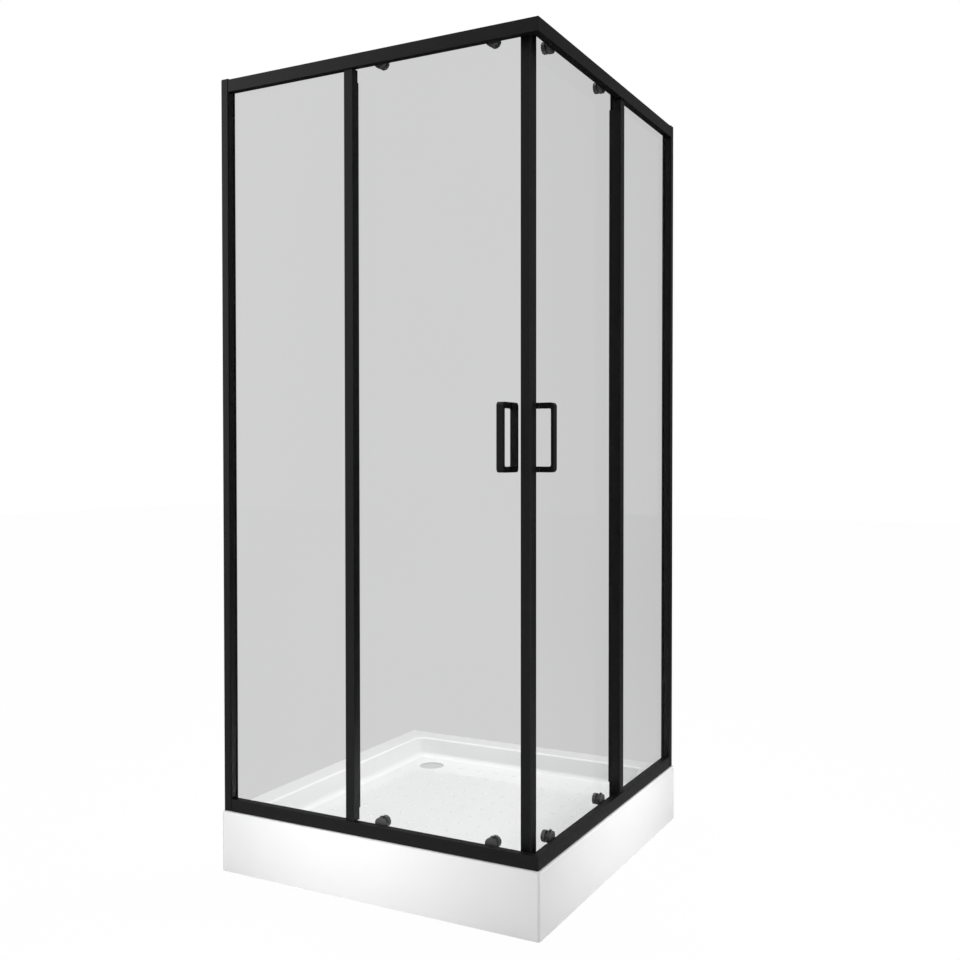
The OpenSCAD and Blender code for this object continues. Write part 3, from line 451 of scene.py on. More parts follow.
@dataclass(frozen=True)
class GroundEdge:
    """Finely ground glass, matt and faintly green, for the panes' edges and holes."""

    name: str = "ground_glass"
    tint: Triple = (0.72, 0.8, 0.76)
    swing: float = 0.92
    rough: Point = (0.4, 0.55)
    patch: float = 400.0
    polish: float = 1400.0
    grain: float = 3000.0
    relief: Point = (0.2, 0.0001)
    bend: float = 1.5
    clear: float = 0.6

    def material(self) -> bpy.types.Material:
        """Builds the finish's material.

        Returns:
            The material.
        """
        sheet = Sheet(self.name)
        low = tone(self.tint, self.swing)
        return sheet.finished({
            "Base Color": sheet.ramp(sheet.noise(self.patch), low, self.tint),
            "Roughness": sheet.mapped(sheet.noise(self.polish), NOISE, self.rough),
            "Normal": sheet.bump(sheet.noise(self.grain), *self.relief),
            "IOR": self.bend,
            "Transmission Weight": self.clear,
        })


class Slot(Enum):
    """The record's material slots, each with its finish."""

    BLACK = ("black_powder_coat", Coating(
        "powder_coat", (0.008, 0.008, 0.0082), rough=(0.36, 0.44), patch=30.0, swing=0.08,
        grain=1500.0, relief=(0.12, 0.0001), gloss=0.42))
    RUBBER = ("black_rubber", Coating(
        "soft_seal", (0.012, 0.012, 0.012), rough=(0.5, 0.62), patch=60.0, swing=0.12,
        grain=900.0, relief=(0.1, 0.0001), gloss=0.4, sheen=0.08))
    PLASTIC = ("black_plastic", Coating(
        "moulded_black", (0.016, 0.016, 0.016), rough=(0.42, 0.52), patch=80.0, swing=0.1,
        grain=1900.0, relief=(0.18, 0.0001)))
    GREY = ("grey_plastic", Coating(
        "moulded_grey", (0.1, 0.1, 0.102), rough=(0.34, 0.44), patch=90.0, swing=0.1,
        grain=2200.0, relief=(0.16, 0.0001)))
    ACRYLIC = ("white_acrylic", Coating(
        "sanitary_acrylic", (0.86, 0.86, 0.862), rough=(0.16, 0.22), patch=7.0, swing=0.006,
        grain=11.0, relief=(0.05, 0.0012), coat=0.5))
    NYLON = ("white_nylon", Coating(
        "turned_nylon", (0.78, 0.78, 0.74), rough=(0.34, 0.42), patch=120.0, swing=0.05,
        grain=2500.0, relief=(0.1, 0.0001), soft=0.15))
    STEEL = ("stainless_steel", Brushed("brushed_stainless", (0.58, 0.58, 0.59), rough=(0.2, 0.34)))
    ZINC = ("galvanised_steel", Spangled("zinc_spangle", (0.5, 0.52, 0.54), rough=(0.32, 0.5)))
    CAST = ("die_cast", Spangled("die_cast_zinc", (0.42, 0.42, 0.43), rough=(0.4, 0.55)))
    GLASS = ("clear_glass", Glass("clear_pane", (0.965, 0.97, 0.968)))

    def __init__(self, key: str, finish: Coating | Brushed | Spangled | Glass) -> None:
        """Keeps the slot's two facts under their names.

        Args:
            key: What the record calls the slot.
            finish: The finish that it gets.
        """
        self.key = key
        self.finish = finish


class Finishes:
    """Makes each finish's material once and dresses objects in it."""

    def __init__(self) -> None:
        """Starts with no material made."""
        self.made: dict[Slot, bpy.types.Material] = {}

    def dress(self, obj: bpy.types.Object, slot: Slot) -> None:
        """Gives an object the slot's material alone.

        Args:
            obj: The object to dress.
            slot: The record's slot.
        """
        if slot not in self.made:
            self.made[slot] = slot.finish.material()
        obj.data.materials.clear()
        obj.data.materials.append(self.made[slot])

    def dress_nodes(self, frame: dict) -> None:
        """Gives every CAD node the finish that the record names for it.

        Args:
            frame: What the frame's loading returned.
        """
        by_key = {slot.key: slot for slot in Slot}
        for part in frame["record"]["subparts"]:
            self.dress(frame["nodes"][part["node"]], by_key[part["material_slot"]])


# Bench


class Work:
    """A piece on the bench, in millimetres, shaped with operators until it is set down."""

    # How near doubles merge, on the bench and on a CAD node's copy, the angle up to which its
    # faces count as flat, and the angle past which an edge is rounded, in how many steps.
    SEAM = 0.0005
    NODE_SEAM = 0.002
    FLAT = math.radians(0.5)
    SHARP = math.radians(30)
    ROUND_STEPS = 2

    def __init__(self, name: str, obj: bpy.types.Object) -> None:
        """Takes an object onto the bench.

        Args:
            name: What the piece is called.
            obj: The object, at the origin.
        """
        self.name = name
        self.obj = obj
        obj.name = name

    @staticmethod
    def clear() -> None:
        """Leaves edit mode with nothing selected."""
        if bpy.context.object and bpy.context.object.mode != "OBJECT":
            bpy.ops.object.mode_set(mode="OBJECT")
        bpy.ops.object.select_all(action="DESELECT")

    @classmethod
    def start(cls, name: str, primitive: Callable[..., set], **settings: object) -> Work:
        """A primitive with its place in its mesh.

        Args:
            name: What the piece is called.
            primitive: The operator that adds it.
            **settings: The operator's settings.

        Returns:
            The piece.
        """
        cls.clear()
        primitive(**settings)
        bpy.ops.object.transform_apply()
        return cls(name, bpy.context.object)

    @classmethod
    def block(cls, name: str, low: Triple, high: Triple) -> Work:
        """A square block between two corners.

        Args:
            name: What the piece is called.
            low: The corner with the least of each axis.
            high: The corner across from it.

        Returns:
            The piece.
        """
        middle = [(a + b) / 2 for a, b in zip(low, high)]
        size = [b - a for a, b in zip(low, high)]
        return cls.start(
            name, bpy.ops.mesh.primitive_cube_add, size=1, location=middle, scale=size)

    @classmethod
    def drum(cls, name: str, radius: float, low: float, high: float, sides: int) -> Work:
        """A bar along Z between two heights.

        Args:
            name: What the piece is called.
            radius: Radius to its corners.
            low: Height of its foot.
            high: Height of its top.
            sides: How many sides it has.

        Returns:
            The piece.
        """
        return cls.start(
            name, bpy.ops.mesh.primitive_cylinder_add, vertices=sides, radius=radius,
            depth=high - low, location=(0, 0, (low + high) / 2))

    @classmethod
    def chain(cls, name: str, points: Iterable[Point]) -> Work:
        """An open line in the XZ plane, drawn by extruding one vertex from point to point.

        Args:
            name: What the piece is called.
            points: X and Z of each point.

        Returns:
            The line.
        """
        work = cls.start(name, bpy.ops.mesh.primitive_plane_add, size=1)
        work.edit("VERT", "SELECT")
        bpy.ops.mesh.merge(type="CENTER")
        last = (0.0, 0.0)
        for number, (x, z) in enumerate(points):
            step = {"value": (x - last[0], 0, z - last[1])}
            if number:
                bpy.ops.mesh.extrude_region_move(TRANSFORM_OT_translate=step)
            else:
                bpy.ops.transform.translate(**step)
            last = (x, z)
        cls.clear()
        return work

    @classmethod
    def turned(cls, name: str, outline: Iterable[Point], steps: int = 48) -> Work:
        """A lathe piece about Z.

        Args:
            name: What the piece is called.
            outline: Radius and height from the foot's middle to the top's, or round a closed ring.
            steps: Facets round the axis.

        Returns:
            The piece, closed and facing outwards.
        """
        work = cls.chain(name, outline)
        work.edit("VERT", "SELECT")
        bpy.ops.mesh.spin(steps=steps, angle=math.tau, center=(0, 0, 0), axis=(0, 0, 1))
        return work.sew()

    @classmethod
    def of_node(cls, frame: dict, node: str) -> Work:
        """A merged copy of a CAD node's shape, its flat faces whole again.

        Args:
            frame: What the frame's loading returned.
            node: The CAD node's name.

        Returns:
            The piece.
        """
        obj = bpy.data.objects.new(node + "_work", frame["nodes"][node].data.copy())
        bpy.context.scene.collection.objects.link(obj)
        obj.data.transform(Matrix.Scale(1 / MM, 4))
        obj.data.materials.clear()
        work = cls(node + "_work", obj)
        work.edit("VERT", "SELECT")
        bpy.ops.mesh.remove_doubles(threshold=cls.NODE_SEAM)
        bpy.ops.mesh.dissolve_limited(angle_limit=cls.FLAT)
        cls.clear()
        return work

    @staticmethod
    def joined(pieces: Iterable[Work]) -> Work:
        """Several pieces made one.

        Args:
            pieces: The pieces, each in its place.

        Returns:
            The first of them, with the others in it.
        """
        rest = iter(pieces)
        first = next(rest)
        for other in rest:
            first.add(other)
        return first

    def active(self) -> None:
        """Makes the piece the only one selected."""
        self.clear()
        self.obj.select_set(True)
        bpy.context.view_layer.objects.active = self.obj

    def edit(self, kind: str, action: str = "DESELECT") -> None:
        """Opens the piece in edit mode.

        Args:
            kind: VERT, EDGE or FACE.
            action: SELECT for all that it has, or DESELECT.
        """
        self.active()
        bpy.ops.object.mode_set(mode="EDIT")
        bpy.ops.mesh.select_mode(type=kind)
        bpy.ops.mesh.select_all(action=action)

    def pick(self, kind: str, test: Callable[..., bool]) -> None:
        """Opens the piece and selects the vertices or edges that pass a test.

        Args:
            kind: VERT or EDGE.
            test: Takes a vertex's place, or an edge's two places.
        """
        self.edit(kind)
        mesh = bmesh.from_edit_mesh(self.obj.data)
        if kind == "VERT":
            for vert in mesh.verts:
                vert.select_set(test(vert.co))
        else:
            for edge in mesh.edges:
                edge.select_set(test(edge.verts[0].co, edge.verts[1].co))
        mesh.select_flush_mode()
        bmesh.update_edit_mesh(self.obj.data)

    def sew(self) -> Work:
        """Merges doubles and turns the faces outwards.

        Returns:
            The piece.
        """
        self.edit("VERT", "SELECT")
        bpy.ops.mesh.remove_doubles(threshold=self.SEAM)
        bpy.ops.mesh.normals_make_consistent(inside=False)
        self.clear()
        return self

    def modify(self, kind: str, **settings: object) -> Work:
        """Adds a modifier and applies it.

        Args:
            kind: The modifier's type.
            **settings: Its settings.

        Returns:
            The piece.
        """
        self.active()
        modifier = self.obj.modifiers.new(kind.lower(), kind)
        for key, value in settings.items():
            setattr(modifier, key, value)
        bpy.ops.object.modifier_apply(modifier=modifier.name)
        return self

    def soften(self, width: float) -> Work:
        """Rounds every sharp edge.

        Args:
            width: The rounding's width.

        Returns:
            The piece.
        """
        return self.modify(
            "BEVEL", width=width, segments=self.ROUND_STEPS, limit_method="ANGLE",
            angle_limit=self.SHARP, use_clamp_overlap=False)

    def coiled(self, rise: float, turns: int, steps: int) -> Work:
        """Sweeps a line or ring up about Z and fills the sweep's open ends.

        Args:
            rise: Height that a turn gains.
            turns: How many turns.
            steps: Facets in a turn.

        Returns:
            The piece, closed.
        """
        self.modify(
            "SCREW", axis="Z", angle=math.tau, screw_offset=rise, iterations=turns, steps=steps,
            render_steps=steps)
        self.edit("EDGE", "SELECT")
        bpy.ops.mesh.fill_holes(sides=0)
        return self.sew()

    def combine(self, tool: Work, operation: str) -> Work:
        """Joins this piece with another by a boolean and puts that one away.

        Args:
            tool: The other piece.
            operation: UNION, INTERSECT or DIFFERENCE.

        Returns:
            This piece.
        """
        self.modify("BOOLEAN", object=tool.obj, operation=operation, solver="EXACT")
        tool.discard()
        return self

    def cut(self, tool: Work) -> Work:
        """Cuts another piece's shape out of this one and puts that piece away."""
        return self.combine(tool, "DIFFERENCE")

    def pitted(self, radius: float, low: float, high: float) -> Work:
        """Sinks a hexagon socket on Z between two heights."""
        return self.cut(Work.drum("socket_cutter", radius, low, high, sides=6))

    def add(self, other: Work) -> Work:
        """Joins another piece to this one as it lies.

        Args:
            other: The piece that is added.

        Returns:
            This piece.
        """
        self.active()
        other.obj.select_set(True)
        bpy.ops.object.join()
        return self

    def moved(self, place: Triple, turn: float = 0.0, axis: str = "Z") -> Work:
        """Turns the piece about one of the axes, then moves it.

        Args:
            place: How far it moves.
            turn: Degrees that it turns first.
            axis: The axis that it turns about.

        Returns:
            The piece.
        """
        turned = Matrix.Rotation(math.radians(turn), 4, axis)
        self.obj.data.transform(Matrix.Translation(place) @ turned)
        return self

    def copy(self) -> Work:
        """Another piece of the same shape, with its own mesh.

        Returns:
            The copy.
        """
        other = self.obj.copy()
        other.data = self.obj.data.copy()
        bpy.context.scene.collection.objects.link(other)
        return Work(self.name, other)

    def discard(self) -> None:
        """Takes the piece off the bench."""
        mesh = self.obj.data
        bpy.data.objects.remove(self.obj)
        bpy.data.meshes.remove(mesh)


@dataclass(frozen=True)
class Fitter:
    """Sets finished pieces down in the cabin, dressed and riding on their bodies."""

    frame: dict
    finishes: Finishes

    def set_down(
        self, work: Work, name: str, matrix: Matrix, body: str, slot: Slot, nodes: list[str],
        smooth: float = SMOOTH
    ) -> bpy.types.Object:
        """Puts a copy of a piece in its place.

        Args:
            work: The piece on the bench.
            name: The placed piece's name.
            matrix: From its millimetres to the part's metres.
            body: The CAD body that it rides on.
            slot: Its finish.
            nodes: The CAD nodes that it stands for.
            smooth: Angle in degrees up to which its edges are shaded smooth.

        Returns:
            The placed piece.
        """
        placed = work.copy()
        placed.active()
        obj = placed.obj
        obj.name = obj.data.name = name
        obj.matrix_world = matrix
        bpy.ops.object.transform_apply(location=True, rotation=True, scale=True)
        if matrix.determinant() < 0:
            placed.edit("VERT", "SELECT")
            bpy.ops.mesh.normals_make_consistent(inside=False)
            placed.active()
        bpy.ops.object.shade_smooth_by_angle(angle=math.radians(smooth))
        placed.modify("WEIGHTED_NORMAL", keep_sharp=True, weight=100)
        self.finishes.dress(obj, slot)
        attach(obj, body)
        if nodes:
            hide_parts(*nodes)
        LOG.info("%s: %d faces on %s", name, len(obj.data.polygons), body)
        return obj


# Tray


@dataclass(frozen=True)
class Tray:
    """The acrylic tray: rim, basin, studs, drain, skirts and their returns.

    A plan line is a rounded square at one height, and line_gap is how far inside its half width
    its corners may lie. The seat is how much wider the drain's mouth is, and how deep. The two
    returns start at return_zs, a hair apart, so that none of their faces share a plane.
    """

    width: float = 900.0
    height: float = RIM
    shell: float = 5.0
    corner_r: float = 7.0
    edge_r: float = 5.0
    edge_steps: int = 4
    basin: float = 764.0
    basin_corner_r: float = 28.0
    rim_roll: float = 8.0
    rim_steps: int = 6
    floor_z: float = 100.0
    floor_roll: float = 20.0
    floor_steps: int = 7
    floor_corner_r: float = 1.5
    draft: float = 10.0
    corner_steps: int = 8
    line_gap: float = 30.0
    lip: float = 40.0
    skirt_return: float = 14.0
    return_zs: Point = (0.02, 0.03)
    return_round: float = 1.0
    drain: Point = (-280.0, 290.0)
    drain_r: float = 36.0
    seat: Point = (5.0, 2.5)
    drain_clear: float = 55.0
    stud: tuple[Point, ...] = (
        (0, -0.6), (6.5, -0.6), (6.5, 0.5), (6.0, 0.9), (4.5, 1.45), (4.0, 1.6), (0, 1.6))
    stud_pitch: float = 60.0
    stud_rows: int = 5
    shell_smooth: float = 50.0

    def lines(self) -> list[Triple]:
        """Half width, corner radius and height of each plan line, from the skirt to the floor.

        Returns:
            The lines.
        """
        half, basin, top = self.width / 2, self.basin / 2, self.height
        lines = [(half, self.corner_r, 0.0), (half, self.corner_r, top - self.edge_r)]
        for part in range(1, self.edge_steps + 1):
            turn = math.radians(90 * part / self.edge_steps)
            inwards, down = (self.edge_r * (1 - f(turn)) for f in (math.cos, math.sin))
            lines.append((half - inwards, self.corner_r - inwards, top - down))
        for part in range(self.rim_steps + 1):
            turn = math.radians(90 * part / self.rim_steps)
            down, out = (self.rim_roll * (1 - f(turn)) for f in (math.cos, math.sin))
            lines.append((basin + out, self.basin_corner_r + out, top - down))
        middle = basin - self.draft - self.floor_roll
        low = self.floor_z + self.floor_roll
        run, fall = basin - middle, top - self.rim_roll - low
        start = math.acos(self.floor_roll / math.hypot(run, fall)) - math.atan2(fall, run)
        for part in range(self.floor_steps + 1):
            turn = start + (math.pi / 2 - start) * part / self.floor_steps
            reach, down = (self.floor_roll * f(turn) for f in (math.cos, math.sin))
            lines.append((middle + reach, max(reach, self.floor_corner_r), low - down))
        return lines

    def plan_line(self, half: float, radius: float, height: float) -> Work:
        """A rounded square line, drawn from a plane with its corners bevelled.

        Args:
            half: Half of its width.
            radius: Radius of its corners.
            height: Its height.

        Returns:
            The line.
        """
        line = Work.start(
            "tray_line", bpy.ops.mesh.primitive_plane_add, size=2 * half, location=(0, 0, height))
        line.edit("VERT", "SELECT")
        bpy.ops.mesh.bevel(
            offset=radius, offset_type="OFFSET", segments=self.corner_steps, affect="VERTICES")
        bpy.ops.mesh.select_all(action="SELECT")
        bpy.ops.mesh.delete(type="ONLY_FACE")
        Work.clear()
        return line

    def lies_on(self, co: Vector, line: Triple) -> bool:
        """Whether a vertex belongs to a plan line, since two lines share the rim's height."""
        out = max(abs(co.x), abs(co.y))
        return abs(co.z - line[2]) < NEAR and abs(out - line[0]) < self.line_gap

    def skin(self) -> Work:
        """The tray's outer skin, bridged from line to line.

        Returns:
            The open skin, facing outwards.
        """
        lines = self.lines()
        work = Work.joined(self.plan_line(*line) for line in lines)
        for pair in zip(lines, lines[1:]):
            work.pick("EDGE", lambda a, b, pair=pair: abs(a.z - b.z) < NEAR and all(
                any(self.lies_on(co, line) for line in pair) for co in (a, b)))
            bpy.ops.mesh.bridge_edge_loops()
        floor_z = lines[-1][2]
        work.pick("EDGE", lambda a, b: all(abs(co.z - floor_z) < NEAR for co in (a, b)))
        bpy.ops.mesh.edge_face_add()
        work.sew()
        work.edit("FACE")
        mesh = bmesh.from_edit_mesh(work.obj.data)
        floor = max(mesh.faces, key=lambda face: face.calc_area())
        if floor.normal.z < 0:
            bpy.ops.mesh.select_all(action="SELECT")
            bpy.ops.mesh.flip_normals()
        Work.clear()
        return work

    def shell_body(self) -> Work:
        """The moulded shell with its drain, its cut skirts and its returns.

        Returns:
            The shell.
        """
        work = self.skin()
        work.modify("SOLIDIFY", thickness=self.shell, offset=-1, use_even_offset=True)
        floor, shell, (wide, deep) = self.floor_z, self.shell, self.seat
        low, high, seat_r = floor - 2 * shell, floor + shell, self.drain_r + wide
        drain = Work.turned("drain_cutter", (
            (0, low), (self.drain_r, low), (self.drain_r, floor - deep), (seat_r, floor + NEAR),
            (seat_r, high), (0, high)), steps=64)
        work.cut(drain.moved((*self.drain, 0)))
        half, top = self.width / 2, self.height - self.lip
        out, inner = half + PAST, half - shell
        foot = inner - self.skirt_return
        work.cut(Work.block("left_cutter", (-out, -inner, -PAST), (-foot, out, top)))
        work.cut(Work.block("rear_cutter", (-out, foot, -PAST), (inner, out, top)))
        front_z, side_z = self.return_zs
        for name, corner, across in (
            ("front_return", (-inner, -inner - PAST, front_z), (inner, -foot, shell)),
            ("side_return", (foot, -foot - PAST, side_z), (inner + PAST, inner, shell)),
        ):
            work.add(Work.block(name, corner, across).soften(self.return_round))
        return work

    def studs(self) -> Work:
        """The raised studs of the basin's floor, in rows, clear of the drain.

        Returns:
            The studs, joined.
        """
        stud = Work.turned("stud", self.stud, steps=16)
        steps = range(-self.stud_rows, self.stud_rows + 1)
        places = [(i * self.stud_pitch, j * self.stud_pitch) for i in steps for j in steps]
        field = Work.joined(
            stud.copy().moved((*place, self.floor_z)) for place in places
            if math.dist(place, self.drain) > self.drain_clear)
        stud.discard()
        return field

    def build(self, fitter: Fitter) -> None:
        """Sets the shell and its studs down.

        Args:
            fitter: Puts them in their places.
        """
        for work, name, nodes, smooth in (
            (self.shell_body(), "tray_shell", ["tray"], self.shell_smooth),
            (self.studs(), "tray_studs", [], SMOOTH),
        ):
            fitter.set_down(work, name, PLAN, "cabin", Slot.ACRYLIC, nodes, smooth)
            work.discard()


# Frame


@dataclass(frozen=True)
class Trim:
    """Pieces that keep their CAD section and get real edges: profiles, seals, keys and stops.

    Each row gives the node, or its name's ending on a face, the width of its edges in
    millimetres and its finish, and for a face's nodes the body that they ride on.
    """

    common: tuple[tuple[str, float, Slot], ...] = (
        ("support_frame", 0.5, Slot.ZINC),
        ("wall_profile_caps", 0.5, Slot.PLASTIC),
        ("corner_keys", 0.4, Slot.CAST),
        ("door_stops", 0.5, Slot.RUBBER),
    )
    per_face: tuple[tuple[str, float, Slot, str], ...] = (
        ("top_rail", 0.3, Slot.BLACK, "cabin"),
        ("bottom_rail", 0.3, Slot.BLACK, "cabin"),
        ("post", 0.35, Slot.BLACK, "cabin"),
        ("wall_profile", 0.35, Slot.BLACK, "cabin"),
        ("jamb", 0.3, Slot.BLACK, "cabin"),
        ("post_seal", 0.15, Slot.RUBBER, "cabin"),
        ("closing_profile", 0.3, Slot.BLACK, "{face}_door"),
        ("magnet_seal", 0.25, Slot.RUBBER, "{face}_door"),
        ("trailing_seal", 0.15, Slot.RUBBER, "{face}_door"),
        ("outer_handle", 0.4, Slot.BLACK, "{face}_door"),
        ("inner_handle", 0.4, Slot.BLACK, "{face}_door"),
        ("handle_studs", 0.3, Slot.STEEL, "{face}_door"),
        ("near_release", 0.35, Slot.GREY, "{face}_near_release"),
        ("far_release", 0.35, Slot.GREY, "{face}_far_release"),
    )

    def build(self, fitter: Fitter) -> None:
        """Softens each node's copy and sets it down.

        Args:
            fitter: Puts the copies in their places.
        """
        jobs = [(*row, "cabin") for row in self.common]
        for face in Face:
            for ending, width, slot, body in self.per_face:
                jobs.append((f"{face.value}_{ending}", width, slot, body.format(face=face.value)))
        for node, width, slot, body in jobs:
            work = Work.of_node(fitter.frame, node).soften(width)
            fitter.set_down(work, node + "_edged", PLAN, body, slot, [node])
            work.discard()


@dataclass(frozen=True)
class Panes:
    """Glass panes with clear faces and finely ground edges and holes.

    A facet belongs to an edge where its normal's cosine to the pane's is under face_cosine.
    """

    kinds: tuple[tuple[str, str], ...] = (("fixed_pane", "cabin"), ("door_pane", "{face}_door"))
    face_cosine: float = 0.9
    smooth: float = 20.0

    def build(self, fitter: Fitter) -> None:
        """Sets the panes down, each with its two finishes.

        Args:
            fitter: Puts them in their places.
        """
        ground = GroundEdge().material()
        for face in Face:
            for ending, body in self.kinds:
                node = f"{face.value}_{ending}"
                work = Work.of_node(fitter.frame, node)
                pane = fitter.set_down(
                    work, node + "_ground", PLAN, body.format(face=face.value), Slot.GLASS, [node],
                    self.smooth)
                pane.data.materials.append(ground)
                for polygon in pane.data.polygons:
                    across = abs(polygon.normal.dot(face.inwards)) < self.face_cosine
                    polygon.material_index = int(across)
                work.discard()


@dataclass(frozen=True)
class Feet:
    """Screw feet under the support frame, with their locknuts.

    Each foot is turned a little further than the last. The thread is full between the crest's
    two heights in a pitch, and the nut's bore has its own radius and that of its mouths.
    """

    places: tuple[Point, ...] = (
        (-313, -280), (313, -280), (-313, 120), (313, 120), (-150, 323), (200, 323))
    turn: float = 17.0
    pad_r: float = 25.0
    hub_r: float = 12.0
    hub_top: float = 12.0
    screw_r: float = 6.0
    root_r: float = 5.1
    pitch: float = 1.75
    crest: Point = (0.7, 1.05)
    top: float = 92.5
    nut: Point = (62.0, 70.0)
    nut_width: float = 19.0
    nut_bore: Point = (6.1, 7.2)

    def foot(self) -> Work:
        """One foot: a stepped pad with its hub, and its threaded rod.

        Returns:
            The foot.
        """
        pad, hub, root = self.pad_r, self.hub_r, self.root_r
        foot = Work.turned("foot", (
            (0, 0), (pad - 1, 0), (pad, 0.8), (pad, 2.4), (pad - 0.7, 3), (hub + 2.5, 4.6),
            (hub + 0.4, 5.4), (hub, 6.4), (hub, self.hub_top - 1), (hub - 1, self.hub_top),
            (root, self.hub_top), (root, self.top - 1), (root - 1, self.top), (0, self.top)),
            steps=40)
        start = self.hub_top - self.pitch / 2
        rise, end = (start + z for z in self.crest)
        thread = Work.chain("thread", (
            (root, start), (self.screw_r, rise), (self.screw_r, end), (root, start + self.pitch)))
        turns = int((self.top - self.hub_top) / self.pitch) - 1
        return foot.add(thread.coiled(self.pitch, turns, steps=20))

    def locknut(self) -> Work:
        """One locknut: a hexagon with turned corners and a bore.

        Returns:
            The locknut.
        """
        low, high = self.nut
        flat, (bore, mouth) = self.nut_width / 2, self.nut_bore
        corner = flat / math.cos(math.pi / 6)
        nut = Work.drum("locknut", corner, low, high, sides=6)
        nut.combine(Work.turned("nut_chamfer", (
            (0, low), (flat - 0.4, low), (corner + 0.1, low + 1), (corner + 0.1, high - 1),
            (flat - 0.4, high), (0, high))), "INTERSECT")
        return nut.cut(Work.turned("nut_bore", (
            (0, low - PAST), (mouth, low - PAST), (bore, low + 0.8), (bore, high - 0.8),
            (mouth, high + PAST), (0, high + PAST)), steps=32))

    def build(self, fitter: Fitter) -> None:
        """Sets six feet and six locknuts down.

        Args:
            fitter: Puts them in their places.
        """
        for one, name, slot, node in (
            (self.foot(), "threaded_feet", Slot.PLASTIC, "tray_feet"),
            (self.locknut(), "turned_locknuts", Slot.ZINC, "foot_locknuts"),
        ):
            group = Work.joined(
                one.copy().moved((x, y, 0), self.turn * number)
                for number, (x, y) in enumerate(self.places))
            fitter.set_down(group, name, PLAN, "cabin", slot, [node])
            group.discard()
            one.discard()


@dataclass(frozen=True)
class Screws:
    """The frame's screws, with cross recesses and threads, each along -Z from its head.

    Names that end in _s and _d are places along and into a face, and the posts' heights have the
    degrees of their screws' turn beside them. The tip is the length of a screw's plain end and of
    its taper, which starts at tip_share of the root. The cross is how wide and long its arms are.
    """

    pan_head: tuple[Point, ...] = (
        (0, 2.0), (1.8, 2.0), (2.5, 1.75), (2.95, 1.2), (3.1, 0.6), (3.1, 0.15), (3.0, 0))
    sunk_head: tuple[Point, ...] = ((0, 0), (3.0, 0), (3.0, -0.15), (1.9, -1.9))
    sunk_neck: float = -2.2
    shank_r: float = 1.9
    thread_h: float = 0.22
    pitch: float = 0.9
    tip: Point = (1.2, 0.7)
    tip_share: float = 0.8
    cross: Point = (0.9, 3.6)
    cross_deep: float = 1.3
    port_s: float = 869.5
    port_d: float = 7.5
    port_zs: tuple[float, ...] = (4.933, 26.567, 1823.433, 1845.067)
    port_len: float = 19.5
    post_s: float = 502.25
    post_d: float = 12.567
    post_zs: tuple[tuple[float, float], ...] = ((0.0, 90.0), (1850.0, -90.0))
    post_len: float = 49.0
    jamb_s: float = 883.45
    jamb_d: float = 28.5
    jamb_zs: tuple[float, ...] = (285.0, 925.0, 1565.0)
    jamb_len: float = 7.0

    def screw(self, name: str, head: tuple[Point, ...], start: float, length: float) -> Work:
        """One screw: its head, its threaded shank down to a tip, and its cross recess.

        Args:
            name: What the piece is called.
            head: The head's outline, from the middle of its face.
            start: Height where the thread begins.
            length: From the head's seat, or a sunk head's face, to the tip.

        Returns:
            The screw.
        """
        outline, height, end = [*head], start, -length
        root = self.shank_r - self.thread_h
        plain, taper = self.tip
        while height - self.pitch > end + plain:
            outline += [(root, height), (self.shank_r, height - self.pitch / 2)]
            height -= self.pitch
        outline += [(root, height), (root * self.tip_share, end + taper), (0, end)]
        screw = Work.turned(name, outline, steps=24)
        top, (wide, long) = head[0][1], (width / 2 for width in self.cross)
        for x, y in ((wide, long), (long, wide)):
            corner, across = (-x, -y, top - self.cross_deep), (x, y, top + PAST)
            screw.cut(Work.block("recess_cutter", corner, across))
        return screw

    def build(self, fitter: Fitter) -> None:
        """Sets each face's nine screws down as one piece.

        Args:
            fitter: Puts them in their places.
        """
        jamb = self.screw("pan_screw", self.pan_head, 0, self.jamb_len)
        port = self.screw("pan_screw", self.pan_head, 0, self.port_len).moved((0, 0, 0), 90, "Y")
        post = self.screw("sunk_screw", self.sunk_head, self.sunk_neck, self.post_len)
        group = Work.joined((
            *(jamb.copy().moved((self.jamb_s, z, self.jamb_d)) for z in self.jamb_zs),
            *(port.copy().moved((self.port_s, z, self.port_d)) for z in self.port_zs),
            *(post.copy().moved((self.post_s, z, self.post_d), turn, "X")
              for z, turn in self.post_zs)))
        for face in Face:
            fitter.set_down(
                group, face.value + "_cross_screws", face.drawn(), "cabin", Slot.STEEL,
                ["frame_screws"])
        for work in (group, jamb, port, post):
            work.discard()


# Doors' running gear


